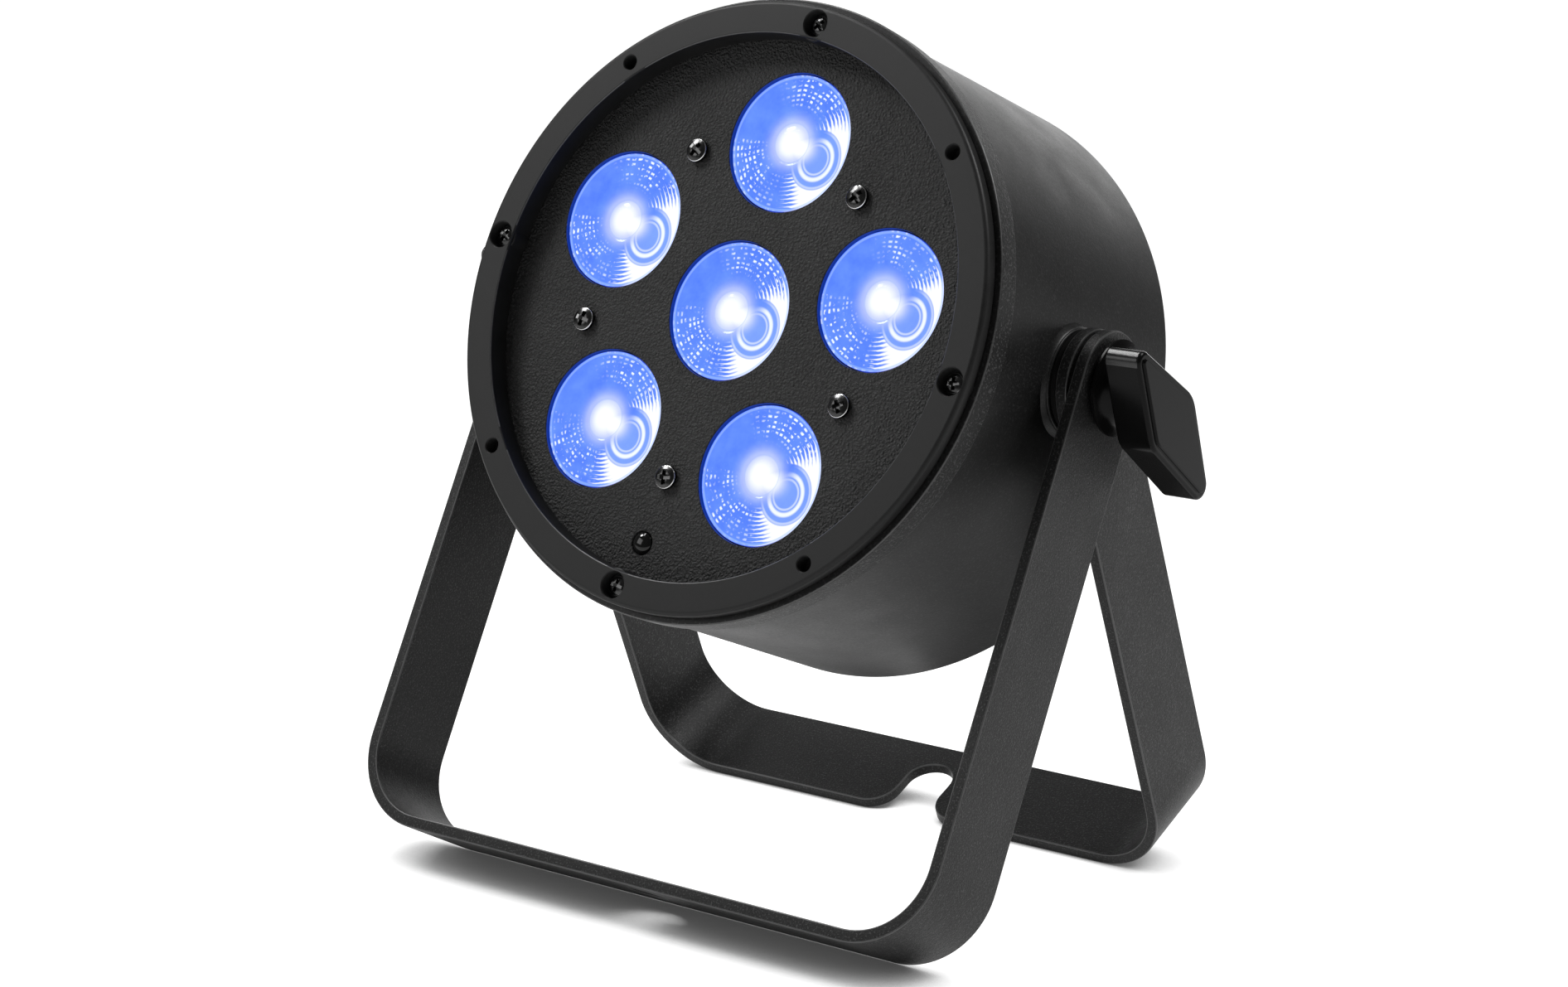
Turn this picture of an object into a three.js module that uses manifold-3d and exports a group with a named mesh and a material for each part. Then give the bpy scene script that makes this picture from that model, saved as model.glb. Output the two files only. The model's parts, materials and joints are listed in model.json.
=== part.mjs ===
// LED par can stage light: a round metal head between two U-shaped brackets that stand on the floor.
// Millimetres, +Z up. The light shines towards -Y and upwards, and +X is to the right seen from the
// front. The origin is on the floor, in the middle of the whole light.
import * as THREE from "three";
import { mergeVertices } from "three/addons/utils/BufferGeometryUtils.js";
import Module from "manifold-3d";

const wasm = await Module();
wasm.setup();

// ---------------------------------------------------------------- driving dimensions
const GAP = 0.3; // clearance between two pieces that touch
const TINY = 0.15; // clearance along the clamp axis, where faces stay square
const OVER = 1; // how far a cutting tool runs past the face it cuts
const degrees = Math.PI / 180;
const ROUND = 48; // sides of the head's large round pieces

// brackets: two steel straps bent to a U, the rear one nested inside the front one
const strapWidth = 35;
const strapThickness = 4;
const pivotHeight = 175.9;
const frontHalfWidth = 115.2; // middle of the light to the strap's outer face
const rearHalfWidth = 109.6;
const frontLeg = 187.5; // pivot to the outer face of the base
const rearLeg = 186;
const frontBend = 28; // outside of the bend
const rearBend = 28;
const boltHoleRadius = 6.5; // hole for the hanging bolt in the front base
const slotRadius = 9; // open slot for the same bolt in the rear base
const slotMouth = 10; // rounding where the slot meets the edge
const slotOffset = 2;
const slotAdvance = 1; // slot's arc centre, from the strap's centreline towards the open edge

// head, measured along its own axis from the pivot, positive towards the lenses
const headTilt = 19.7 * degrees;
const bezelFront = 56.3;
const bezelRadius = 100;
const bezelInner = 89.3;
const bezelFlange = 2.8;
const bezelSpigot = 99.2; // the part of the bezel that enters the housing
const panelFace = bezelFront - 8.2;
const panelThickness = 2;
const panelRadius = 91;
const lipRadius = 101.1;
const lipFront = bezelFront - 4.8;
const lipBack = bezelFront - 13.6;
const mouthRadius = bezelSpigot + GAP;
const ledgeRadius = 87;
const ledgeDepth = 8;
const bodyFrontRadius = 100.5;
const bodyBackRadius = 102.1;
const bodyBack = -58.3;
const bodyWall = 4.2;
const backRim = 5.5;
const backCorner = 3;

// rear cover, sunk a little into the housing
const coverFace = bodyBack + 2.5;
const coverThickness = 3;
const coverRadius = bodyBackRadius - backRim - GAP;
const coverLedge = 88;
const coverScrewRing = 92.2;

// optics: one lens in the middle and five round it
const lensRing = 56.75;
const lensStart = 81.6 * degrees;
const ringCount = 5;
const lensHole = 23;
const lensFace = panelFace - 0.9;
const lensHeight = 21;
const lensFoot = 8.5;
const carrierFace = panelFace - 9;
const carrierThickness = 3;
const boardFace = panelFace - 24;
const boardThickness = 1.6;
const innerRadius = 84;

// heat sink behind the board
const sinkFace = boardFace - boardThickness - GAP;
const sinkBase = 6;
const finCount = 11;
const finThickness = 2.4;
const finPitch = 14;
const finDepth = 34;

// screws
const shank = 1.9;
const bezelScrewRing = 94.3;
const bezelScrewStart = 81.6 * degrees;
const counterbore = 4.4;
const counterboreDepth = 4.2;
const plainHole = 2.5;
const plainHoleDepth = 5;
const panHead = 3.9;
const panHeight = 2.2;

// side clamps, measured from the middle of the light
const padRadius = 16.5;
const bossFace = 102.8;
const studRadius = 4;
const studHole = studRadius + 0.5;
const washerRadius = 13;
const clampWasher = 1.5;
const hubStart = frontHalfWidth + clampWasher + 2 * TINY;
const hubRadius = 15.2;
const hubNeck = 10.5;
const handleInner = 122.8;
const handleOuter = 136.2;
// handle seen along the clamp axis, as [back, up, corner radius] from the axis
const handleCorners = [
  [-22, 19.8, 3.6],
  [16.9, -2.1, 12],
  [32.8, -43.8, 4.5],
  [-7.5, -16.2, 10],
];
const leftKnobTurn = 75 * degrees;

// rear panel, as [x, up] on the cover
const displayPlace = [0, 46];
const displaySize = [54, 24];
const buttonPlaces = { menu: [-27, 22], down: [-9, 22], up: [9, 22], enter: [27, 22] };
const buttonRadius = 4;
const buttonProud = 2.5;
const dmxPlaces = { dmx_in: [-34, -12], dmx_out: [34, -12] };
const powerPlaces = { power_inlet: [-34, -52], power_outlet: [34, -52] };
const flangeSize = [26, 31];
const flangeThickness = 3;
const socketRadius = 12;
const socketDepth = 16;
const latchPlace = [0, 12.2]; // from the middle of its socket
const latchSize = [7, 3.6];
const latchProud = 2.1;
const fusePlace = [0, -52];
const fuseRadius = 7;
const eyeletPlace = [0, 72];

// infrared receiver window in the front panel
const sensorRing = 79;
const sensorAngle = -99 * degrees;
const sensorRadius = 3.7;

// ---------------------------------------------------------------- materials
const finish = (color, roughness, metalness) =>
  new THREE.MeshStandardMaterial({ color, roughness, metalness });
const blackPaint = finish(0x2b2b2c, 0.6, 0.3);
const strapPaint = finish(0x303031, 0.7, 0.2);
const panelPaint = finish(0x2a2a2a, 0.8, 0.1);
const blackPlastic = finish(0x1f1f20, 0.45, 0);
const rubber = finish(0x141414, 0.9, 0);
const blackSteel = finish(0x1a1a1a, 0.35, 0.9);
const steel = finish(0xb0b0b2, 0.3, 1);
const aluminium = finish(0xa8aaad, 0.4, 1);
const blueLens = finish(0x3f6bff, 0.1, 0);
const emitterWhite = finish(0xe8e6d8, 0.4, 0);
const boardWhite = finish(0xdedede, 0.5, 0);
const boardGreen = finish(0x1d4a2c, 0.5, 0);
const smokedPlastic = finish(0x0c0c10, 0.1, 0);
const blueSocket = finish(0x1f55b5, 0.5, 0);
const greySocket = finish(0x9a9ca0, 0.5, 0);

// ---------------------------------------------------------------- geometry helpers
function solid(geometry) {
  const bare = geometry.clone();
  bare.deleteAttribute("normal");
  bare.deleteAttribute("uv");
  const merged = mergeVertices(bare, 1e-4);
  const index = Array.from(merged.index.array);
  const triangles = [];
  for (let i = 0; i < index.length; i += 3) {
    const [a, b, c] = index.slice(i, i + 3);
    if (a !== b && b !== c && c !== a) {
      triangles.push(a, b, c);
    }
  }
  const mesh = new wasm.Mesh({
    numProp: 3,
    vertProperties: new Float32Array(merged.attributes.position.array),
    triVerts: new Uint32Array(triangles),
  });
  return new wasm.Manifold(mesh);
}

function geometryOf(manifold) {
  const mesh = manifold.getMesh();
  const geometry = new THREE.BufferGeometry();
  geometry.setAttribute("position", new THREE.BufferAttribute(mesh.vertProperties, 3));
  geometry.setIndex(new THREE.BufferAttribute(mesh.triVerts, 1));
  return geometry;
}

function cut(geometry, tools) {
  return geometryOf(tools.reduce((whole, tool) => whole.subtract(solid(tool)), solid(geometry)));
}

function join(geometry, others) {
  return geometryOf(others.reduce((whole, other) => whole.add(solid(other)), solid(geometry)));
}

function common(geometry, other) {
  return geometryOf(solid(geometry).intersect(solid(other)));
}

// closed outline of [radius, height] points turned about +Z
function turned(outline, segments = ROUND) {
  const points = outline.map(([radius, height]) => new THREE.Vector2(radius, height));
  if (THREE.ShapeUtils.area(points) < 0) {
    points.reverse();
  }
  const onAxis = points.filter((point) => point.x === 0).length;
  if (onAxis === 0) {
    points.push(points[0].clone());
  }
  while (onAxis > 0 && (points[0].x > 0 || points.at(-1).x > 0)) {
    points.push(points.shift());
  }
  return new THREE.LatheGeometry(points, segments).rotateX(Math.PI / 2);
}

function disc(radius, low, high, segments = 24) {
  return turned([[0, low], [radius, low], [radius, high], [0, high]], segments);
}

function ring(inner, outer, low, high, segments = 20) {
  return turned([[inner, low], [outer, low], [outer, high], [inner, high]], segments);
}

// block from a [x, y] centre, a [width, height] and its lowest and highest z
function block([x, y], [width, height], low, high) {
  const box = new THREE.BoxGeometry(width, height, high - low);
  return box.translate(x, y, (low + high) / 2);
}

// flat outline of [x, y] points pushed up from one height to another
function slab(points, low, high) {
  const shape = new THREE.Shape(points.map(([x, y]) => new THREE.Vector2(x, y)));
  const extruded = new THREE.ExtrudeGeometry(shape, { depth: high - low, bevelEnabled: false });
  return extruded.translate(0, 0, low);
}

// points of an arc about [x, y], from one angle to another
function arc([x, y], radius, from, to, steps) {
  return Array.from({ length: steps + 1 }, (unused, i) => {
    const angle = from + ((to - from) * i) / steps;
    return [x + radius * Math.cos(angle), y + radius * Math.sin(angle)];
  });
}

// outline with its corners, given as [x, y, radius], rounded off
function rounded(corners, steps = 4) {
  return corners.flatMap(([x, y, radius], i) => {
    const here = new THREE.Vector2(x, y);
    const [beforeX, beforeY] = corners.at(i - 1);
    const [afterX, afterY] = corners[(i + 1) % corners.length];
    const back = new THREE.Vector2(beforeX, beforeY).sub(here).normalize();
    const ahead = new THREE.Vector2(afterX, afterY).sub(here).normalize();
    const half = Math.acos(back.dot(ahead)) / 2;
    const middle = back.clone().add(ahead).setLength(radius / Math.sin(half)).add(here);
    const first = back.clone().multiplyScalar(radius / Math.tan(half)).add(here).sub(middle);
    const swing = -Math.sign(back.cross(ahead)) * (Math.PI - 2 * half);
    return Array.from({ length: steps + 1 }, (unused, k) => {
      const spoke = first.clone().rotateAround(new THREE.Vector2(), (swing * k) / steps);
      return [middle.x + spoke.x, middle.y + spoke.y];
    });
  });
}

function roundedRectangle([x, y], [width, height], radius) {
  const [right, top] = [width / 2, height / 2];
  return rounded([
    [x + right, y + top, radius],
    [x - right, y + top, radius],
    [x - right, y - top, radius],
    [x + right, y - top, radius],
  ]);
}

const polar = (radius, angle) => [radius * Math.cos(angle), radius * Math.sin(angle)];
const move = (geometry, [x, y]) => geometry.translate(x, y, 0);

// stands a piece made about +Z on the clamp axis, so that its height runs along +X
function alongX(geometry) {
  const basis = new THREE.Matrix4().makeBasis(
    new THREE.Vector3(0, 1, 0),
    new THREE.Vector3(0, 0, 1),
    new THREE.Vector3(1, 0, 0),
  );
  return geometry.applyMatrix4(basis);
}

const group = new THREE.Group();
const head = new THREE.Group();

function add(parent, name, geometry, material, [x, y, z] = [0, 0, 0], [turnX, turnY, turnZ] = [0, 0, 0]) {
  const mesh = new THREE.Mesh(geometry, material);
  mesh.name = name;
  mesh.position.set(x, y, z);
  mesh.rotation.set(turnX, turnY, turnZ);
  parent.add(mesh);
}

// ---------------------------------------------------------------- places that repeat
const quarterTurns = (start) => [0, 1, 2, 3].map((k) => start + (k * Math.PI) / 2);
const bezelScrewPlaces = quarterTurns(bezelScrewStart).map((angle) => polar(bezelScrewRing, angle));
const plainHolePlaces = quarterTurns(bezelScrewStart + Math.PI / 4).map((angle) =>
  polar(bezelScrewRing, angle));
const coverScrewPlaces = quarterTurns(Math.PI / 4).map((angle) => polar(coverScrewRing, angle));
const fifthTurns = Array.from({ length: ringCount }, (unused, k) => (2 * Math.PI * k) / ringCount);
const lensPlaces = [
  [0, 0],
  ...fifthTurns.map((turn) => polar(lensRing, lensStart + turn)),
];
const panelScrewPlaces = fifthTurns.map((turn) =>
  polar(lensRing, lensStart + Math.PI / ringCount + turn));
const sensorPlace = polar(sensorRing, sensorAngle);
const connectorPlaces = [...Object.values(dmxPlaces), ...Object.values(powerPlaces)];

// ---------------------------------------------------------------- housing and front
function housing() {
  const ledgeFace = panelFace - panelThickness - GAP;
  const coverSeat = coverFace + coverThickness + GAP;
  const shell = turned([
    [bodyBackRadius - backRim, bodyBack],
    ...arc([bodyBackRadius - backCorner, bodyBack + backCorner], backCorner, -Math.PI / 2, 0, 3),
    [bodyFrontRadius, lipBack],
    [lipRadius, lipBack + 0.4],
    [lipRadius, lipFront],
    [mouthRadius, lipFront],
    [mouthRadius, ledgeFace],
    [ledgeRadius, ledgeFace],
    [ledgeRadius, ledgeFace - ledgeDepth],
    [bodyFrontRadius - bodyWall, ledgeFace - ledgeDepth - 5],
    [bodyBackRadius - bodyWall, coverSeat + 10],
    [coverLedge, coverSeat + 5],
    [coverLedge, coverSeat],
    [bodyBackRadius - backRim, coverSeat],
  ]);
  const bosses = [-1, 1].map((side) => {
    const boss = alongX(disc(padRadius + 0.5, bodyFrontRadius - bodyWall + 1, bossFace));
    return side > 0 ? boss : boss.rotateZ(Math.PI);
  });
  const studBores = alongX(disc(studHole, -bossFace - OVER, bossFace + OVER, 24));
  const frontBores = bezelScrewPlaces.map((place) =>
    move(disc(shank + GAP, ledgeFace - ledgeDepth - 6, ledgeFace + OVER, 8), place));
  const rearBores = coverScrewPlaces.map((place) =>
    move(disc(shank + GAP, coverSeat - OVER, coverSeat + 6, 8), place));
  return cut(join(shell, bosses), [studBores, ...frontBores, ...rearBores]);
}

function frontBezel() {
  const back = bezelFront - bezelFlange;
  const body = turned([
    [bezelInner, panelFace + GAP],
    [bezelSpigot, panelFace + GAP],
    [bezelSpigot, back],
    [bezelRadius, back],
    [bezelRadius, bezelFront - 1.2],
    ...arc([bezelRadius - 1.2, bezelFront - 1.2], 1.2, 0, Math.PI / 2, 3).slice(1),
    [bezelInner + 0.4, bezelFront],
    [bezelInner, bezelFront - 0.4],
  ]);
  const tools = bezelScrewPlaces.flatMap((place) => [
    move(disc(counterbore, bezelFront - counterboreDepth, bezelFront + OVER, 18), place),
    move(disc(shank + GAP, panelFace - OVER, bezelFront, 8), place),
  ]);
  const plain = plainHolePlaces.map((place) =>
    move(disc(plainHole, bezelFront - plainHoleDepth, bezelFront + OVER, 12), place));
  return cut(body, [...tools, ...plain]);
}

function bezelGasket() {
  const back = panelFace - panelThickness;
  const bores = bezelScrewPlaces.map((place) =>
    move(disc(shank + GAP, back - OVER, panelFace + OVER, 8), place));
  return cut(ring(panelRadius + GAP, bezelSpigot - GAP, back, panelFace, ROUND), bores);
}

function frontPanel() {
  const back = panelFace - panelThickness;
  const through = (radius, place, segments) =>
    move(disc(radius, back - OVER, panelFace + OVER, segments), place);
  return cut(disc(panelRadius, back, panelFace, ROUND), [
    ...lensPlaces.map((place) => through(lensHole, place, 24)),
    ...panelScrewPlaces.map((place) => through(shank + GAP, place, 8)),
    through(sensorRadius + GAP, sensorPlace, 20),
  ]);
}

function panScrew(headRadius, headHeight, length) {
  return turned([
    [0, -length],
    [shank, -length],
    [shank, 0],
    [headRadius, 0],
    [headRadius, headHeight * 0.5],
    [headRadius * 0.6, headHeight],
    [0, headHeight * 0.4],
  ], 10);
}

function infraredSensor() {
  const dome = arc([0, panelFace - 0.6], sensorRadius, 0, Math.PI / 2, 4).map(([radius, height]) =>
    [Math.max(radius, 0), panelFace - 0.6 + (height - panelFace + 0.6) * 0.5]);
  dome[dome.length - 1][0] = 0;
  return turned([[0, panelFace - 8], [sensorRadius, panelFace - 8], ...dome], 20);
}

// ---------------------------------------------------------------- optics and electronics
function lens() {
  const foot = lensFace - lensHeight;
  return turned([
    [0, lensFace - 1.2],
    [13, lensFace - 1.2],
    [13.6, lensFace],
    [lensHole - 0.4, lensFace],
    [lensHole - 0.4, lensFace - 2.6],
    [lensHole - 6.5, lensFace - 10],
    [lensFoot, foot],
    [5.2, foot],
    [4.6, foot + 7],
    [0, foot + 7.6],
  ], 20);
}

// radius of the lens at a height, on its cone
function lensRadiusAt(height) {
  const [wide, low] = [lensHole - 6.5, lensFace - 10];
  const foot = lensFace - lensHeight;
  return lensFoot + ((wide - lensFoot) * (height - foot)) / (low - foot);
}

function lensCarrier() {
  const back = carrierFace - carrierThickness;
  const postTop = panelFace - panelThickness - GAP;
  const posts = panelScrewPlaces.map((place) => move(disc(5, carrierFace - 1, postTop, 10), place));
  const seat = lensRadiusAt(carrierFace) + 4.2;
  return cut(join(disc(innerRadius, back, carrierFace, 36), posts), [
    ...lensPlaces.map((place) => move(disc(seat, back - OVER, carrierFace + OVER, 20), place)),
    ...panelScrewPlaces.map((place) => move(disc(shank + GAP, back - OVER, postTop + OVER, 8), place)),
    move(disc(sensorRadius + 2, back - OVER, carrierFace + OVER, 12), sensorPlace),
  ]);
}

function emitter() {
  const face = boardFace + GAP;
  const dome = arc([0, face + 1], 2.6, 0, Math.PI / 2, 3).slice(0, -1);
  return turned([[0, face], [4.2, face], [4.2, face + 1], ...dome, [0, face + 3.6]], 12);
}

function heatSink() {
  const base = disc(innerRadius, sinkFace - sinkBase, sinkFace, 36);
  const fins = Array.from({ length: finCount }, (unused, i) => {
    const x = (i - (finCount - 1) / 2) * finPitch;
    const reach = 2 * Math.sqrt((innerRadius - 4) ** 2 - x ** 2);
    const low = sinkFace - sinkBase - finDepth;
    return block([x, 0], [finThickness, reach], low, sinkFace - sinkBase + 1);
  });
  return join(base, fins);
}

function powerSupply() {
  const front = sinkFace - sinkBase - finDepth - 2;
  return slab(roundedRectangle([0, -34], [112, 62], 3), front - 18, front);
}

function controlBoard() {
  const low = coverFace + coverThickness + 6;
  const chip = block([0, 50], [50, 18], low - 3, low + 0.5);
  return join(block([0, 36], [84, 52], low, low + boardThickness), [chip]);
}

// ---------------------------------------------------------------- rear panel
function rearCover() {
  const top = coverFace + coverThickness;
  const through = (radius, place, segments = 16) =>
    move(disc(radius, coverFace - OVER, top + OVER, segments), place);
  const [displayWidth, displayHeight] = displaySize;
  const opening = [displayWidth + 2 * GAP, displayHeight + 2 * GAP];
  return cut(disc(coverRadius, coverFace, top, ROUND), [
    block(displayPlace, opening, coverFace - OVER, top + OVER),
    ...Object.values(buttonPlaces).map((place) => through(buttonRadius + GAP, place, 20)),
    ...connectorPlaces.map((place) => through(socketRadius + GAP, place, 20)),
    ...coverScrewPlaces.map((place) => through(shank + GAP, place, 8)),
    through(fuseRadius - 1 + GAP, fusePlace, 20),
    through(2.5 + GAP, eyeletPlace, 12),
  ]);
}

// panel connector: a flange on the cover and a round body behind it, with an open socket
function connector(opening) {
  const outside = coverFace - GAP;
  const flange = slab(roundedRectangle([0, 0], flangeSize, 3), outside - flangeThickness, outside);
  const body = disc(socketRadius, outside - OVER, outside + socketDepth, 20);
  const mouth = disc(opening, outside - flangeThickness - OVER, outside + socketDepth - 3, 20);
  return cut(join(flange, [body]), [mouth]);
}

function pins(count, ringRadius, length) {
  const floor = coverFace - GAP + socketDepth - 3.5;
  return Array.from({ length: count }, (unused, i) => {
    const place = polar(ringRadius, Math.PI / 2 + (2 * Math.PI * (i + 0.5)) / count);
    return move(disc(1.2, floor - length, floor + OVER, 8), place);
  });
}

// receptacle insert with three contact holes
function contactBlock(radius, ringRadius) {
  const outside = coverFace - GAP;
  const holes = Array.from({ length: 3 }, (unused, i) =>
    move(disc(1.3, outside - OVER, outside + 8, 8), polar(ringRadius, Math.PI / 2 + (2 * Math.PI * i) / 3)));
  return cut(disc(radius, outside, outside + socketDepth - 2, 20), holes);
}

function maleSocket() {
  return join(connector(9.6), pins(3, 4.2, 6.5));
}

function femaleSocket() {
  const [width, height] = latchSize;
  const opening = [width + 2 * GAP, height + 2 * GAP];
  const latchWell = block(latchPlace, opening, coverFace - flangeThickness - OVER, coverFace + 2);
  return cut(join(connector(9.9), [contactBlock(8.2, 4.2)]), [latchWell]);
}

function powerSocket() {
  return join(connector(10.4), [contactBlock(7.6, 3.8)]);
}

function latch() {
  const flangeFace = coverFace - GAP - flangeThickness;
  return block(latchPlace, latchSize, flangeFace - latchProud, flangeFace + 0.7);
}

function button() {
  const outside = coverFace - buttonProud;
  const inside = coverFace + coverThickness;
  return turned([
    [0, outside],
    [buttonRadius - 0.6, outside],
    [buttonRadius, outside + 0.6],
    [buttonRadius, inside + 0.4],
    [0, inside + 0.4],
  ], 20);
}

function displayWindow() {
  return slab(roundedRectangle(displayPlace, displaySize, 1.5), coverFace - 0.6, coverFace + 2);
}

function fuseCap() {
  const outside = coverFace - GAP;
  const grip = turned([
    [0, outside - 7],
    [fuseRadius - 1.4, outside - 7],
    [fuseRadius - 0.6, outside - 6.2],
    [fuseRadius, outside],
    [0, outside],
  ], 24);
  const slot = block([0, 0], [9, 1.6], outside - 8, outside - 5.6);
  return cut(join(grip, [disc(fuseRadius - 1, outside - 1, outside + 18, 20)]), [slot]);
}

function safetyEyelet() {
  const outside = coverFace - GAP;
  const loop = new THREE.TorusGeometry(6.4, 1.8, 8, 20).rotateY(Math.PI / 2);
  loop.translate(0, 0, outside - 8.4);
  const collar = disc(4.6, outside - 1.8, outside, 16);
  return join(loop, [collar, disc(2.5, outside - 2.4, outside + 9, 12)]);
}

// ---------------------------------------------------------------- brackets and clamps
const footReach = (leg) => leg * Math.sin(splay(leg)) + (strapWidth / 2) * Math.cos(splay(leg));

// angle from upright at which a leg of this length stands on the inner edge of its base
function splay(leg) {
  const edge = Math.hypot(leg, strapWidth / 2);
  return Math.atan(strapWidth / 2 / leg) + Math.acos(pivotHeight / edge);
}

// half of the U, from the top of the leg round the bend, offset inwards
function strapOutline(halfWidth, leg, bend, inset) {
  const side = halfWidth - inset;
  const radius = bend - inset;
  const base = -leg + inset;
  const top = strapWidth / 2 + OVER;
  return [
    [side, top],
    ...arc([side - radius, base + radius], radius, 0, -Math.PI / 2, 9),
    ...arc([radius - side, base + radius], radius, -Math.PI / 2, -Math.PI, 9),
    [-side, top],
  ];
}

const boltHole = (leg) =>
  move(disc(boltHoleRadius, -leg - OVER, -leg + strapThickness + OVER, 48), [slotOffset, 0]);

// slot open towards the front, so that the rear bracket swings onto the bolt of a hanging clamp
function boltSlot(leg) {
  const edge = -strapWidth / 2;
  const wall = slotRadius + slotMouth;
  const outline = [
    ...arc([slotOffset, -slotAdvance], slotRadius, 0, Math.PI, 12),
    ...arc([slotOffset - wall, edge + slotMouth], slotMouth, 0, -Math.PI / 2, 5),
    [slotOffset - wall, edge - OVER],
    [slotOffset + wall, edge - OVER],
    ...arc([slotOffset + wall, edge + slotMouth], slotMouth, -Math.PI / 2, -Math.PI, 5),
  ];
  return slab(outline, -leg - OVER, -leg + strapThickness + OVER);
}

// bracket hanging from the pivot, with an opening for the hanging bolt in its base
function bracket(halfWidth, leg, bend, opening) {
  const outline = [
    ...strapOutline(halfWidth, leg, bend, 0),
    ...strapOutline(halfWidth, leg, bend, strapThickness).reverse(),
  ];
  const half = strapWidth / 2;
  const strap = slab(outline, -half, half).rotateX(Math.PI / 2);
  const profile = [...arc([0, 0], half, 0, Math.PI, 14), [-half, -leg - OVER], [half, -leg - OVER]];
  const side = alongX(slab(profile, -halfWidth - OVER, halfWidth + OVER));
  const bore = alongX(disc(studHole, -halfWidth - OVER, halfWidth + OVER, 24));
  return cut(common(strap, side), [bore, opening]);
}

function knob() {
  const cone = turned([
    [0, hubStart],
    [hubRadius, hubStart],
    [hubRadius, hubStart + 1],
    [hubNeck, handleInner],
    [hubNeck, handleInner + OVER],
    [0, handleInner + OVER],
  ], 28);
  const handle = slab(rounded(handleCorners, 5), handleInner, handleOuter);
  const bore = disc(studRadius + GAP, hubStart - OVER, handleInner + 7, 20);
  return alongX(cut(join(handle, [cone]), [bore]));
}

// ---------------------------------------------------------------- assembly
const pivot = [0, (footReach(frontLeg) - footReach(rearLeg)) / 2, pivotHeight];
head.position.set(...pivot);
// the head's own axes: X stays X, Y points to its top and Z towards the lenses
head.rotation.set(Math.PI / 2 - headTilt, 0, 0);
group.add(head);

add(head, "housing", housing(), blackPaint);
add(head, "front_bezel", frontBezel(), blackPaint);
add(head, "bezel_gasket", bezelGasket(), rubber);
add(head, "front_panel", frontPanel(), panelPaint);
add(head, "ir_sensor", infraredSensor(), smokedPlastic, [...sensorPlace, 0]);
bezelScrewPlaces.forEach((place, i) => {
  const seat = bezelFront - counterboreDepth + GAP;
  add(head, `bezel_screw_${i + 1}`, panScrew(3.3, 2, 14), blackSteel, [...place, seat]);
});
panelScrewPlaces.forEach((place, i) => {
  const seat = [...place, panelFace + GAP];
  add(head, `panel_screw_${i + 1}`, panScrew(panHead, panHeight, 12), blackSteel, seat);
});

lensPlaces.forEach((place, i) => {
  add(head, `lens_${i + 1}`, lens(), blueLens, [...place, 0]);
  add(head, `led_${i + 1}`, emitter(), emitterWhite, [...place, 0]);
});
add(head, "lens_carrier", lensCarrier(), blackPlastic);
add(head, "led_board", disc(innerRadius, boardFace - boardThickness, boardFace, 36), boardWhite);
add(head, "heat_sink", heatSink(), aluminium);
add(head, "power_supply", powerSupply(), aluminium);
add(head, "control_board", controlBoard(), boardGreen);

add(head, "rear_cover", rearCover(), blackPaint);
coverScrewPlaces.forEach((place, i) => {
  const seat = [...place, coverFace - GAP];
  add(head, `cover_screw_${i + 1}`, panScrew(3.4, 2, 8), blackSteel, seat, [Math.PI, 0, 0]);
});
add(head, "display_window", displayWindow(), smokedPlastic);
Object.entries(buttonPlaces).forEach(([label, place]) => {
  add(head, `${label}_button`, button(), blackPlastic, [...place, 0]);
});
add(head, "dmx_in", maleSocket(), blackPlastic, [...dmxPlaces.dmx_in, 0]);
add(head, "dmx_out", femaleSocket(), blackPlastic, [...dmxPlaces.dmx_out, 0]);
add(head, "dmx_out_latch", latch(), steel, [...dmxPlaces.dmx_out, 0]);
add(head, "power_inlet", powerSocket(), blueSocket, [...powerPlaces.power_inlet, 0]);
add(head, "power_outlet", powerSocket(), greySocket, [...powerPlaces.power_outlet, 0]);
add(head, "fuse_cap", fuseCap(), blackPlastic, [...fusePlace, 0]);
add(head, "safety_eyelet", safetyEyelet(), steel, [...eyeletPlace, 0]);

const frontStrap = bracket(frontHalfWidth, frontLeg, frontBend, boltHole(frontLeg));
const rearStrap = bracket(rearHalfWidth, rearLeg, rearBend, boltSlot(rearLeg));
add(group, "front_bracket", frontStrap, strapPaint, pivot, [-splay(frontLeg), 0, 0]);
add(group, "rear_bracket", rearStrap, strapPaint, pivot, [splay(rearLeg), 0, 0]);

// each side carries the same stack of pieces, turned half round for the left side
const sides = { right: [0, 0, 0], left: [0, 0, Math.PI] };
const nestedFace = frontHalfWidth - strapThickness;
Object.entries(sides).forEach(([side, turn]) => {
  const place = (name, geometry, material, rotation = turn) =>
    add(group, `${side}_${name}`, geometry, material, pivot, rotation);
  const innerFace = rearHalfWidth - strapThickness;
  const washer = (radius, low, high) => alongX(ring(studHole, radius, low + TINY, high - TINY));
  place("friction_pad", washer(padRadius, bossFace, innerFace), rubber);
  place("spacer_washer", washer(padRadius, rearHalfWidth, nestedFace), blackPlastic);
  place("clamp_washer", washer(washerRadius, frontHalfWidth, hubStart), blackSteel);
  place("clamp_stud", alongX(disc(studRadius, bodyFrontRadius - 14, handleInner + 6, 20)), steel);
  place("knob", knob(), blackPlastic, side === "left" ? [leftKnobTurn, 0, Math.PI] : turn);
});

export default group;
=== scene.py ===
import json
from math import acos, atan, copysign, cos, hypot, pi, radians, sin, tan

import bmesh
import bpy
from mathutils import Matrix, Vector

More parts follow.
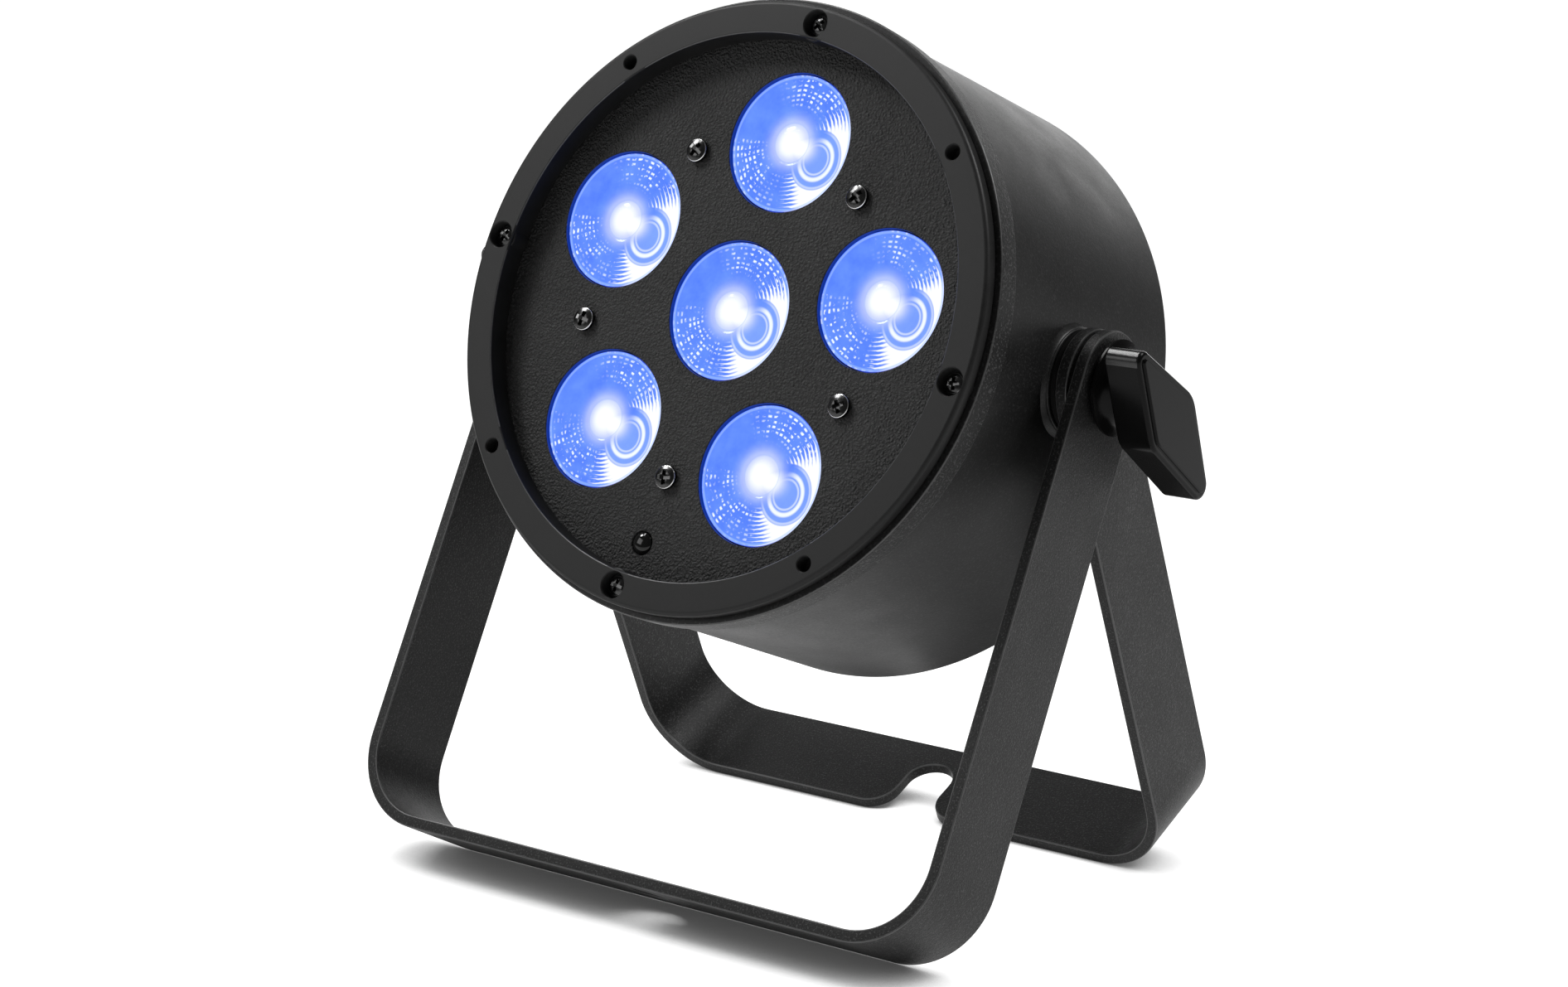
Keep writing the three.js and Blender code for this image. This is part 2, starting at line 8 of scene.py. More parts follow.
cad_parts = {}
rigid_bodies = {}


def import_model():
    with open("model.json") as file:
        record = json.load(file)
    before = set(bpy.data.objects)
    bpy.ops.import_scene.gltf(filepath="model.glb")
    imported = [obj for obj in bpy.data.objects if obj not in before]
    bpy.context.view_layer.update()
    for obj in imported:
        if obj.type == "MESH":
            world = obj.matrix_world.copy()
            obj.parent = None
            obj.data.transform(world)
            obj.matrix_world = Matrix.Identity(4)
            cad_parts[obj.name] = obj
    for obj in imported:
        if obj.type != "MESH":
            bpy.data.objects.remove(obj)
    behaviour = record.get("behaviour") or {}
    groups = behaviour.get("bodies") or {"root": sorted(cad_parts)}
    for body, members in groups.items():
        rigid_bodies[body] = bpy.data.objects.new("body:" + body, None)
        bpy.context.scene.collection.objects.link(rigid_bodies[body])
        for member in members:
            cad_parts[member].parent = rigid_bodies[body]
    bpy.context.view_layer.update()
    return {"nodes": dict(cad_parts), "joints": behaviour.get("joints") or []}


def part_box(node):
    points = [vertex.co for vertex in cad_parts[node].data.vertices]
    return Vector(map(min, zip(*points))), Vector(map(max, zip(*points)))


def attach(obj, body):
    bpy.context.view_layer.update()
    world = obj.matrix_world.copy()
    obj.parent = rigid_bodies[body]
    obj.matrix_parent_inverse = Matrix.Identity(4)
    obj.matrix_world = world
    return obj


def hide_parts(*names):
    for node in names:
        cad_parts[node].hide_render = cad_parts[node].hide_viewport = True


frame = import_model()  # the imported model: its bodies, nodes, joints and record

NODES = frame["nodes"]
JOINTS = {joint["name"]: joint for joint in frame["joints"]}
MM = 0.001
FULL = 2 * pi
ROUND = 192  # sides of the large round pieces
SMALL = 48  # sides of the small ones

# ------------ the frames pieces are built in
PIVOT = Vector(JOINTS["head_tilt"]["pos_m"])
FORWARD = Vector(JOINTS["menu_button_press"]["axis"]).normalized()
SIDE = Vector((1, 0, 0))


def axes(origin, x, y, z):
    turned = Matrix((x, y, z)).transposed().to_4x4()
    return Matrix.Translation(origin) @ turned


# X to the right, Y to the top of the head, Z along the light's beam
HEAD = axes(PIVOT, SIDE, FORWARD.cross(SIDE), FORWARD)
# Z outwards along the clamp axis, X to the back on the right side
CLAMP_BASIS = axes(Vector(), Vector((0, 1, 0)), Vector((0, 0, 1)), Vector((1, 0, 0)))
RIGHT = Matrix.Translation(PIVOT) @ CLAMP_BASIS
LEFT = Matrix.Translation(PIVOT) @ Matrix.Rotation(pi, 4, "Z") @ CLAMP_BASIS
LEFT_KNOB_TURN = radians(75)


def extents(node, matrix):
    """Lowest and highest corner of a CAD node in a piece's own frame, in millimetres."""
    back = matrix.inverted()
    points = [(back @ v.co) / MM for v in NODES[node].data.vertices]
    low = Vector([min(p[i] for p in points) for i in range(3)])
    high = Vector([max(p[i] for p in points) for i in range(3)])
    return low, high


def middle(node, matrix=HEAD):
    low, high = extents(node, matrix)
    return (low.x + high.x) / 2, (low.y + high.y) / 2


# ------------ outlines
def arc(centre, radius, start, end, steps):
    return [
        (centre[0] + radius * cos(start + (end - start) * i / steps),
         centre[1] + radius * sin(start + (end - start) * i / steps))
        for i in range(steps + 1)
    ]


def rounded(corners, inset=0.0, steps=6):
    """Outline with its (x, y, radius) corners rounded, moved inwards by inset."""
    count = len(corners)
    points = [Vector(c[:2]) for c in corners]
    area = sum(points[i].cross(points[(i + 1) % count]) for i in range(count))
    inward = 1 if area > 0 else -1

    def edge(i):
        start, end = points[i], points[(i + 1) % count]
        along = (end - start).normalized()
        return start + Vector((-along.y, along.x)) * inset * inward, along

    moved = []
    for i in range(count):
        (a, along_a), (b, along_b) = edge(i - 1), edge(i)
        moved.append(a + along_a * ((b - a).cross(along_b) / along_a.cross(along_b)))
    outline = []
    for i, here in enumerate(moved):
        radius = max(corners[i][2] - inset, 0.2)
        back = (moved[i - 1] - here).normalized()
        ahead = (moved[(i + 1) % count] - here).normalized()
        half = acos(max(-1, min(1, back.dot(ahead)))) / 2
        centre = here + (back + ahead).normalized() * (radius / sin(half))
        first = here + back * (radius / tan(half)) - centre
        swing = -copysign(pi - 2 * half, back.cross(ahead))
        for k in range(steps + 1):
            spoke = first.copy()
            spoke.rotate(Matrix.Rotation(swing * k / steps, 2))
            outline.append((centre.x + spoke.x, centre.y + spoke.y))
    return outline


def rectangle(centre, size, radius):
    (x, y), (width, height) = centre, size
    return [(x + a * width / 2, y + b * height / 2, radius)
            for a, b in ((1, 1), (-1, 1), (-1, -1), (1, -1))]


# ------------ solids, in millimetres
def skin(loops):
    """Closed solid over a run of loops of points, one more loop of the same length each time."""
    bm = bmesh.new()
    rows = [[bm.verts.new(p) for p in loop] for loop in loops]
    count = len(rows[0])
    for low, high in zip(rows, rows[1:]):
        for i in range(count):
            j = (i + 1) % count
            bm.faces.new((low[i], low[j], high[j], high[i]))
    bm.faces.new(rows[0])
    bm.faces.new(rows[-1])
    bmesh.ops.recalc_face_normals(bm, faces=bm.faces)
    return bm


def prism(outline, low, high):
    return skin([[(x, y, z) for x, y in outline] for z in (low, high)])


def lathe(profile, segments=ROUND, shape=None):
    """Outline of (radius, height) points turned about Z; shape moves a point by its angle."""
    bm = bmesh.new()
    rows = []
    for radius, height in profile:
        if radius < 1e-6:
            rows.append([bm.verts.new((0, 0, height))])
            continue
        row = []
        for k in range(segments):
            angle = FULL * k / segments
            reach, level = shape(radius, height, angle) if shape else (radius, height)
            row.append(bm.verts.new((reach * cos(angle), reach * sin(angle), level)))
        rows.append(row)
    pairs = list(zip(rows, rows[1:]))
    if len(rows[0]) > 1:
        pairs.append((rows[-1], rows[0]))
    for low, high in pairs:
        for k in range(segments):
            j = (k + 1) % segments
            corners = (low[k % len(low)], low[j % len(low)], high[j % len(high)], high[k % len(high)])
            bm.faces.new(list(dict.fromkeys(corners)))
    bmesh.ops.recalc_face_normals(bm, faces=bm.faces)
    return bm


def rod(radius, low, high, segments=SMALL, edge=0.0):
    """Round bar; edge is the radius of its two rims."""
    if not edge:
        return lathe([(0, low), (radius, low), (radius, high), (0, high)], segments)
    foot = arc((radius - edge, low + edge), edge, -pi / 2, 0, 4)
    top = arc((radius - edge, high - edge), edge, 0, pi / 2, 4)
    return lathe([(0, low), *foot, *top, (0, high)], segments)


def bore(radius, low, face, segments=SMALL, chamfer=0.25):
    """Cutting tool for a hole with a small chamfer at its mouth, which is at height face."""
    wide = radius + chamfer + 1
    return lathe([(0, low), (radius, low), (radius, face - chamfer), (wide, face + 1), (0, face + 1)],
                 segments)


def placed(bm, offset=(0, 0), turn=None):
    if turn is not None:
        bmesh.ops.transform(bm, matrix=turn, verts=bm.verts)
    bmesh.ops.translate(bm, vec=(*offset, 0), verts=bm.verts)
    return bm


def mesh_of(bm, name):
    mesh = bpy.data.meshes.new(name)
    bm.to_mesh(mesh)
    bm.free()
    return mesh


def linked(name, data):
    thing = bpy.data.objects.new(name, data)
    bpy.context.scene.collection.objects.link(thing)
    return thing


def combine(bm, tools, operation):
    """The solid with all the tools cut from it or added to it."""
    target = linked("target", mesh_of(bm, "target"))
    group = bpy.data.collections.new("tools")
    bpy.context.scene.collection.children.link(group)
    for tool in tools:
        group.objects.link(bpy.data.objects.new("tool", mesh_of(tool, "tool")))
    step = target.modifiers.new("combine", "BOOLEAN")
    step.operation, step.solver = operation, "EXACT"
    step.operand_type, step.collection = "COLLECTION", group
    result = bmesh.new()
    result.from_object(target, bpy.context.evaluated_depsgraph_get())
    for thing in [target, *group.objects]:
        mesh = thing.data
        bpy.data.objects.remove(thing)
        bpy.data.meshes.remove(mesh)
    bpy.data.collections.remove(group)
    bmesh.ops.remove_doubles(result, verts=result.verts, dist=1e-4)
    return result


def cut(bm, *tools):
    return combine(bm, tools, "DIFFERENCE")


def join(bm, *others):
    return combine(bm, others, "UNION")


def soften(bm, width, steps=2, sharp=30):
    """Rounds every edge that turns by more than sharp degrees."""
    edges = [e for e in bm.edges
             if len(e.link_faces) == 2 and e.calc_face_angle(0) > radians(sharp)]
    bmesh.ops.bevel(bm, geom=edges, offset=width, offset_type="OFFSET", segments=steps,
                    profile=0.5, affect="EDGES", clamp_overlap=True)
    return bm


# ------------ materials
class Graph:
    """Node material around one Principled shader, with places measured in millimetres."""

    def __init__(self, name, shine=0.5, **sockets):
        self.material = bpy.data.materials.new(name)
        self.material.use_nodes = True
        self.tree = self.material.node_tree
        self.shader = self.tree.nodes["Principled BSDF"]
        for key, value in {"Specular IOR Level": shine, **sockets}.items():
            self.shader.inputs[key.replace("_", " ")].default_value = value
        place = self.tree.nodes.new("ShaderNodeTexCoord").outputs["Object"]
        self.place = self.vector("SCALE", place, Scale=1 / MM)

    def node(self, kind, inputs, **settings):
        made = self.tree.nodes.new(kind)
        for key, value in settings.items():
            setattr(made, key, value)
        for key, value in inputs.items():
            if isinstance(value, bpy.types.NodeSocket):
                self.tree.links.new(value, made.inputs[key])
            else:
                made.inputs[key].default_value = value
        return made

    def vector(self, operation, *values, **named):
        inputs = {**dict(enumerate(values)), **named}
        return self.node("ShaderNodeVectorMath", inputs, operation=operation).outputs[0]

    def length(self, value):
        return self.node("ShaderNodeVectorMath", {0: value}, operation="LENGTH").outputs["Value"]

    def math(self, operation, *values, clamp=False):
        inputs = dict(enumerate(values))
        return self.node("ShaderNodeMath", inputs, operation=operation, use_clamp=clamp).outputs[0]

    def split(self, value):
        return tuple(self.node("ShaderNodeSeparateXYZ", {0: value}).outputs)

    def noise(self, size, detail, rough, place=None):
        """Soft noise from 0 to 1 whose blobs are about size millimetres across."""
        inputs = {"Vector": place or self.place, "Scale": 1 / size, "Detail": detail, "Roughness": rough}
        return self.node("ShaderNodeTexNoise", inputs).outputs[0]

    def cells(self, size, place):
        inputs = {"Vector": place, "Scale": 1 / size}
        return self.node("ShaderNodeTexVoronoi", inputs, feature="F1").outputs["Distance"]

    def span(self, value, low, high, start=0.0, end=1.0, smooth=False):
        """value from start..end mapped to low..high."""
        inputs = {"Value": value, "From Min": start, "From Max": end, "To Min": low, "To Max": high}
        made = self.node("ShaderNodeMapRange", inputs)
        made.interpolation_type = "SMOOTHSTEP" if smooth else "LINEAR"
        return made.outputs[0]

    def blend(self, factor, low, high):
        """Colour from low to high by factor."""
        low, high = [c if isinstance(c, bpy.types.NodeSocket) else (*c, 1) for c in (low, high)]
        return self.node("ShaderNodeMix", {0: factor, 6: low, 7: high}, data_type="RGBA").outputs[2]

    def mix(self, first, second, share):
        """Share of the first value, and the rest of the second."""
        return self.math("MULTIPLY_ADD", first, share, self.math("MULTIPLY", second, 1 - share))

    def bump(self, height, depth):
        """Surface relief of about depth millimetres."""
        inputs = {"Height": height, "Distance": depth * MM, "Strength": 1.0}
        return self.node("ShaderNodeBump", inputs).outputs[0]

    def feed(self, **sockets):
        for key, value in sockets.items():
            self.tree.links.new(value, self.shader.inputs[key.replace("_", " ")])
        return self.material


def grey(value, warm=0.0):
    return (value * (1 + warm), value, value * (1 - warm))


def painted(name, shade, rough, grain, depth, contrast=0.25, blotch=22, speck=0.0, **sockets):
    """Satin paint or powder coat: shade and roughness wander, over a fine raised grain."""
    graph = Graph(name, **sockets)
    broad = graph.noise(blotch, 3, 0.6)
    fine = graph.noise(grain, 4, 0.6)
    mixed = graph.mix(fine, broad, 0.45)
    tone = graph.span(mixed, 0, 1, 0.3, 0.7)
    colour = graph.blend(tone, grey(shade * (1 - contrast)), grey(shade * (1 + contrast)))
    # painted glints: specks of the grain painted several times lighter
    if speck:
        glint = graph.span(graph.noise(grain * 0.9, 1, 0.3), 0, 1, 0.58, 0.68)
        colour = graph.blend(glint, colour, grey(shade * (1 + speck)))
    height = graph.math("ADD", fine, graph.math("MULTIPLY", graph.noise(grain * 3.5, 2, 0.5), 0.6))
    return graph.feed(
        Base_Color=colour,
        Roughness=graph.span(mixed, rough[0], rough[1], 0.3, 0.7),
        Normal=graph.bump(height, depth),
    )


def wrinkled(name, shade, rough):
    """Wrinkle paint of the front panel: small leathery islands with darker gaps; the colour follows the
    height, a painted shade in the gaps.
    """
    graph = Graph(name, shine=0.3)
    swirl = graph.node("ShaderNodeTexNoise", {"Vector": graph.place, "Scale": 1.2, "Detail": 2.0})
    bent = graph.vector("ADD", graph.place, graph.vector("SCALE", swirl.outputs[1], Scale=0.9))
    island = graph.span(graph.cells(0.95, bent), 0, 1, 0.1, 0.75, smooth=True)
    lump = graph.noise(0.7, 3, 0.6)
    height = graph.math("SUBTRACT", lump, graph.math("MULTIPLY", island, 0.6))
    broad = graph.noise(30, 2, 0.5)
    tone = graph.mix(height, broad, 0.5)
    return graph.feed(
        Base_Color=graph.blend(graph.span(tone, 0, 1, 0.05, 0.6), grey(shade * 0.3), grey(shade * 1.8)),
        Roughness=graph.span(lump, rough[0], rough[1], 0.3, 0.7),
        Normal=graph.bump(height, 0.75),
    )


def mottled(name, low, high, rough, grain, depth, blotch, share, **sockets):
    """Colour and roughness that wander between two ends, over a fine raised grain."""
    graph = Graph(name, **sockets)
    fine = graph.noise(grain, 3, 0.6)
    mixed = graph.mix(fine, graph.noise(blotch, 2, 0.5), share)
    return graph.feed(
        Base_Color=graph.blend(graph.span(mixed, 0, 1, 0.3, 0.7), low, high),
        Roughness=graph.span(mixed, rough[0], rough[1], 0.3, 0.7),
        Normal=graph.bump(fine, depth),
    )


def metallic(name, shade, rough, grain=0.6, warm=0.0):
    low, high = grey(shade * 0.75, warm), grey(shade * 1.15, warm)
    return mottled(name, low, high, rough, grain, 0.004, 4, 0.5, Metallic=1.0)


def moulded(name, colour, rough, grain=0.5, depth=0.01, **sockets):
    """Moulded plastic with a faint spark-eroded grain."""
    low, high = [[c * level for c in colour] for level in (0.88, 1.12)]
    return mottled(name, low, high, rough, grain, depth, 12, 0.4, **sockets)


LENS_RADIUS = 22.6


def lit_lens(name):
    """Clear optic over a blue-driven LED: white core and blue body glowing, facets with painted sparkle
    highlights, and a painted reflection of the foot.
    """
    graph = Graph(name, Roughness=0.12, shine=0.12, Emission_Strength=1.0)
    place = graph.vector("SCALE", graph.place, Scale=1 / LENS_RADIUS)
    here = graph.node("ShaderNodeObjectInfo", {}).outputs["Location"]
    lens_shift = graph.vector("SCALE", here, Scale=90.0)
    x, y, _ = graph.split(place)
    flat = graph.node("ShaderNodeCombineXYZ", {0: x, 1: y, 2: 0.0}).outputs[0]
    own = graph.vector("ADD", flat, lens_shift)

    def rise(value, start, end):
        return graph.span(value, 0, 1, start, end, smooth=True)

    def fall(value, start, end):
        return graph.span(value, 1, 0, start, end, smooth=True)

    def reach(cx, cy, squeeze=1.0):
        moved = graph.node("ShaderNodeCombineXYZ", {
            0: graph.math("SUBTRACT", x, cx),
            1: graph.math("MULTIPLY", graph.math("SUBTRACT", y, cy), squeeze), 2: 0.0}).outputs[0]
        return graph.length(moved)

    def band(value, centre, half, soft):
        """1 where value is within half of centre, fading over soft."""
        away = graph.math("ABSOLUTE", graph.math("SUBTRACT", value, centre))
        return fall(away, half, half + soft)

    def both(*values):
        out = values[0]
        for value in values[1:]:
            out = graph.math("MULTIPLY", out, value)
        return out

    r = reach(0, 0)
    angle = graph.math("ARCTAN2", y, x)  # radians, 0 to the right
    wander = graph.noise(0.35, 3, 0.6, own)
    speckle = graph.noise(0.05, 2, 0.6, own)

    # blue body, paler towards the core, with long soft streaks
    body = graph.blend(graph.span(wander, 0, 1, 0.3, 0.75), (0.050, 0.155, 0.92), (0.105, 0.235, 0.95))

    # rows of pillow facets with painted sparkle highlights in two patches
    bent = graph.math("MULTIPLY_ADD", wander, 0.06, r)
    rows = graph.math("SINE", graph.math("MULTIPLY", bent, 88.0))
    spokes = graph.math("SINE", graph.math("MULTIPLY", angle, 50.0))
    pillow = both(graph.span(rows, 0, 1, -0.2, 0.6), graph.span(spokes, 0.0, 1, -0.7, 0.3))
    patchy = rise(graph.noise(0.11, 2, 0.6, own), 0.44, 0.60)
    broad = graph.span(graph.noise(0.5, 1, 0.5, own), 0.25, 1, 0.35, 0.6, smooth=True)
    upper = both(band(angle, 1.15, 0.30, 0.7), band(r, 0.80, 0.10, 0.24))
    lower = both(band(angle, -2.35, 0.45, 0.6), band(r, 0.76, 0.14, 0.26))
    facets = both(pillow, patchy, broad, graph.math("ADD", upper, lower))
    body = graph.blend(graph.math("MULTIPLY", facets, 1.5, clamp=True), body, (0.88, 0.94, 1.0))

    # painted reflection of the lens foot at the lower right: pale rings inside a white crescent
    foot = reach(0.48, -0.20, 0.96)
    comb = graph.math("ABSOLUTE", graph.math("SINE", graph.math("MULTIPLY", bent, 52.0)))
    ragged = graph.math("MULTIPLY_ADD", comb, 0.34, graph.math("MULTIPLY", wander, 0.35))
    turn = graph.math("ABSOLUTE", graph.math("SUBTRACT", angle, -0.42))
    sector = fall(graph.math("ADD", turn, ragged), 1.16, 1.40)
    outside = rise(foot, 0.405, 0.435)
    crescent = both(sector, outside, rise(r, 0.40, 0.56))
    body = graph.blend(crescent, body, (1.0, 1.0, 1.0))

    inside = fall(foot, 0.40, 0.43)
    slant = graph.math("ADD", x, graph.math("MULTIPLY", y, -0.8))
    lit_side = rise(slant, 0.30, 0.62)
    rings = both(band(foot, 0.205, 0.004, 0.02), 0.55)
    rings = graph.math("ADD", band(foot, 0.275, 0.012, 0.035), rings)
    rings = graph.math("ADD", rings, both(band(foot, 0.395, 0.006, 0.02), 0.5))
    body = graph.blend(both(inside, lit_side, 0.62), body, (0.22, 0.36, 0.98))
    body = graph.blend(both(rings, lit_side, 0.9), body, (0.95, 0.97, 1.0))

    # white-hot core and its glow, stretched towards the foot
    core = reach(0.0, 0.01)
    tail = reach(0.15, -0.05, 1.3)
    glow = graph.math("MAXIMUM", fall(core, 0.10, 0.60), fall(tail, 0.08, 0.50))
    body = graph.blend(graph.math("POWER", glow, 1.9), body, (1.0, 1.0, 1.0))
    outline = both(band(core, 0.29, 0.003, 0.016), 0.3)
    body = graph.blend(outline, body, (0.30, 0.42, 0.92))

    # pale line round the rim, then the deep blue of the edge
    body = graph.blend(both(band(r, 0.972, 0.008, 0.02), 0.55), body, (0.33, 0.50, 1.0))
    body = graph.blend(rise(r, 0.985, 1.0), body, (0.004, 0.035, 0.42))
    relief = graph.math("MULTIPLY_ADD", speckle, 0.3, pillow)
    return graph.feed(
        Base_Color=graph.blend(wander, (0.01, 0.03, 0.2), (0.02, 0.06, 0.3)),
        Emission_Color=body,
        Normal=graph.bump(relief, 0.012),
    )


def glowing(name, size, surface, glow, **sockets):
    """Surface and glow that each wander between two colours."""
    graph = Graph(name, **sockets)
    fine = graph.noise(size, 2, 0.5)
    return graph.feed(Base_Color=graph.blend(fine, *surface), Emission_Color=graph.blend(fine, *glow))


PAINT = painted("satin_black_paint", 0.008, (0.34, 0.50), 0.8, 0.04, speck=1.3, shine=0.2)
BEZEL_PAINT = painted("satin_bezel_paint", 0.008, (0.40, 0.56), 0.7, 0.016, contrast=0.3, blotch=9,
                      shine=0.2)
LIP_PAINT = painted("grained_lip_paint", 0.010, (0.36, 0.52), 0.8, 0.17, contrast=0.4, speck=3.5,
                    shine=0.18)
# lighter finish for rounded edges: a thinner coat there, and a painted highlight along them
EDGE_WEAR_AND_HIGHLIGHT = painted("thin_coat_and_painted_highlight_on_edges", 0.035, (0.34, 0.46), 0.6, 0.02, contrast=0.5, blotch=5,
                    shine=0.5)
POWDER = painted("fine_sand_powder_coat", 0.007, (0.38, 0.52), 0.65, 0.15, contrast=0.35, speck=4.0,
                 shine=0.2)
PANEL = wrinkled("wrinkle_panel_paint", 0.013, (0.5, 0.7))
KNOB = moulded("satin_black_nylon", grey(0.003), (0.18, 0.26), 0.45, 0.008, shine=0.08)
RUBBED = moulded("rubbed_nylon_corner", grey(0.004), (0.20, 0.28), 0.45, 0.006, shine=0.5)
PLASTIC = moulded("black_plastic", grey(0.011), (0.34, 0.46), shine=0.25)
RUBBER = moulded("black_rubber", grey(0.004), (0.7, 0.85), 0.6, 0.02, shine=0.1)
NYLON = moulded("matt_black_nylon", grey(0.003), (0.5, 0.65), 0.6, 0.02, shine=0.1)
BLACK_STEEL = metallic("black_zinc_steel", 0.06, (0.16, 0.26))
GLINT = metallic("polished_screw_edge", 0.62, (0.16, 0.3), grain=1.2)
STEEL = metallic("bright_steel", 0.62, (0.18, 0.32))
ALUMINIUM = metallic("raw_aluminium", 0.58, (0.3, 0.45))
BRASS = metallic("plated_contacts", 0.55, (0.2, 0.3), warm=0.25)
SMOKED = moulded("smoked_window", grey(0.004), (0.05, 0.09), 0.9, 0.002, shine=0.3)
BOARD = moulded("white_circuit_board", grey(0.62), (0.35, 0.5))
GREEN_BOARD = moulded("green_circuit_board", (0.02, 0.11, 0.035), (0.3, 0.45))
EMITTER = moulded("led_emitter", (0.75, 0.72, 0.5), (0.25, 0.4))
BLUE_SOCKET = moulded("blue_socket_plastic", (0.012, 0.085, 0.42), (0.35, 0.48))
GREY_SOCKET = moulded("grey_socket_plastic", (0.28, 0.29, 0.31), (0.38, 0.5))
LENS = lit_lens("lit_blue_lens")
# painted light: the walls of the lens holes glow blue, standing in for the lenses' light falling on them
PAINTED_GLOW_WALL = glowing("painted_blue_glow_hole_wall", 1.1, ((0.005, 0.006, 0.02), (0.007, 0.009, 0.03)),
                   ((0.002, 0.020, 0.22), (0.003, 0.030, 0.30)), Roughness=0.6, Emission_Strength=1.0)
DIGITS = glowing("display_segments", 1.4, ((0.05, 0.0, 0.0), (0.08, 0.0, 0.0)),
                 ((0.75, 0.03, 0.015), (1.0, 0.06, 0.02)), Emission_Strength=1.6)
# painted shade: a darker finish for the walls of the screw counterbores
SHADED_RECESS = moulded("painted_shade_recess", grey(0.004), (0.6, 0.8))


# ------------ turning solids into pieces
def piece(name, bm, matrix, body, finish, slot, stands_for=(), others=(), chooses=None, sharp=38):
    """A finished piece on its body. Faces marked 1 or 2, by chooses where given, take the others."""
    if chooses is not None:
        for face in bm.faces:
            face.material_index = chooses(face.calc_center_median(), face.normal)
    bmesh.ops.scale(bm, vec=(MM, MM, MM), verts=bm.verts)
    bm.normal_update()
    for face in bm.faces:
        face.smooth = True
    for edge in bm.edges:
        edge.smooth = edge.is_manifold and edge.calc_face_angle(0) < radians(sharp)
    mesh = mesh_of(bm, name)
    return piece_from_mesh(name, mesh, matrix, body, finish, slot, stands_for, others)


def piece_from_mesh(name, mesh, matrix, body, finish, slot, stands_for=(), others=()):
    thing = linked(name, mesh)
    if not mesh.materials:
        for coat in (finish, *others):
            mesh.materials.append(coat)
    even = thing.modifiers.new("even_normals", "WEIGHTED_NORMAL")
    even.keep_sharp = True
    thing.matrix_world = matrix
    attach(thing, body)
    if stands_for:
        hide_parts(*stands_for)
    return thing


def at(matrix, x, y, z=0.0):
    return matrix @ Matrix.Translation(Vector((x, y, z)) * MM)


# ------------ camera, light and floor
def place_camera():
    """Camera to the front right of the light, a little above it, with a slight roll."""
    azimuth, elevation, roll = radians(36.14), radians(11.44), radians(1.549)
    back = Vector((sin(azimuth) * cos(elevation),
                   -cos(azimuth) * cos(elevation), sin(elevation)))
    right = Vector((cos(azimuth), sin(azimuth), 0))
    up = back.cross(right)
    camera = linked("camera", bpy.data.cameras.new("camera"))
    camera.data.sensor_width = 36
    camera.data.lens = 77.53
    camera.data.clip_start, camera.data.clip_end = 0.05, 60
    camera.matrix_world = axes(Vector((0.64304, -0.89113, 0.34846)),
                               cos(roll) * right + sin(roll) * up,
                               cos(roll) * up - sin(roll) * right, back)
    bpy.context.scene.camera = camera


def softbox(name, place, aim, size, power):
    lamp = bpy.data.lights.new(name, "AREA")
    lamp.shape, lamp.size, lamp.size_y = "RECTANGLE", *size
    lamp.energy = power
    thing = linked(name, lamp)
    thing.location = place
    thing.rotation_euler = (Vector(aim) - Vector(place)).to_track_quat("-Z", "Y").to_euler()


def light_scene():
    scene = bpy.context.scene
    scene.view_settings.view_transform = "Standard"
    scene.view_settings.look = "None"
    world = bpy.data.worlds.new("studio")
    scene.world = world
    world.use_nodes = True
    background = world.node_tree.nodes["Background"].inputs
    background["Color"].default_value = (1, 1, 1, 1)
    background["Strength"].default_value = 0.12
    aim = (0, 0, 0.19)
    softbox("key_box", (-0.9, -0.42, 1.15), aim, (0.34, 0.34), 12)
    softbox("strip_box", (-0.5, -0.05, 1.23), (0.13, -0.05, 0.19), (0.9, 0.12), 6)
    softbox("front_box", (-1.1, -1.25, 0.8), aim, (0.9, 0.7), 6)
    softbox("top_box", (0.70, 0.44, 1.20), aim, (0.4, 0.4), 12)
    softbox("back_box", (-0.75, 1.7, 0.5), aim, (1.9, 0.8), 9)
    floor = bmesh.new()
    bmesh.ops.create_grid(floor, x_segments=2, y_segments=2, size=15)
    ground = linked("studio_floor", mesh_of(floor, "studio_floor"))
    graph = Graph("white_floor", Roughness=0.9, shine=0.1, Emission_Strength=1.0)
    # the sweep glows evenly, less so under the boxes that light it around the object; close to the
    # object its glow is darkened by ambient occlusion, a painted contact shadow
    away = graph.span(graph.length(graph.place), 0, 1, 350, 1100, smooth=True)
    closed_in = graph.node("ShaderNodeAmbientOcclusion", {"Distance": 0.04}, samples=12).outputs["AO"]
    near = graph.blend(graph.span(closed_in, 0, 1, 0.15, 0.72, smooth=True), grey(0.05), grey(0.98))
    ground.data.materials.append(graph.feed(
        Base_Color=graph.blend(away, grey(0.32), grey(0.2)),
        Emission_Color=graph.blend(away, near, grey(1.0)),
    ))


place_camera()
light_scene()

# ------------ head: housing and bezel
bezel_high = extents("front_bezel", HEAD)[1]
BEZEL_FRONT, BEZEL_RADIUS = bezel_high.z, bezel_high.x
panel_low, panel_high = extents("front_panel", HEAD)
PANEL_FACE, PANEL_BACK = panel_high.z, panel_low.z
body_low, body_high = extents("housing", HEAD)
BODY_BACK, LIP_FRONT = body_low.z, body_high.z
PAD_RADIUS = 16.5
BOSS_FACE = body_high.x
LIP_BACK = LIP_FRONT - 8.8
LIP_RADIUS = body_high.y
BODY_FRONT_RADIUS, BODY_BACK_RADIUS = 100.5, 102.1
BEZEL_INNER = 89.3
SPIGOT = 99.2
SHANK = 1.9
STUD_HOLE = 4.5
GAP = 0.3
cover_low, cover_high = extents("rear_cover", HEAD)
COVER_FACE, COVER_TOP = cover_low.z, cover_high.z
COVER_RADIUS = cover_high.x
bezel_screws = [middle(f"bezel_screw_{i}") for i in range(1, 5)]
panel_screws = [middle(f"panel_screw_{i}") for i in range(1, 6)]
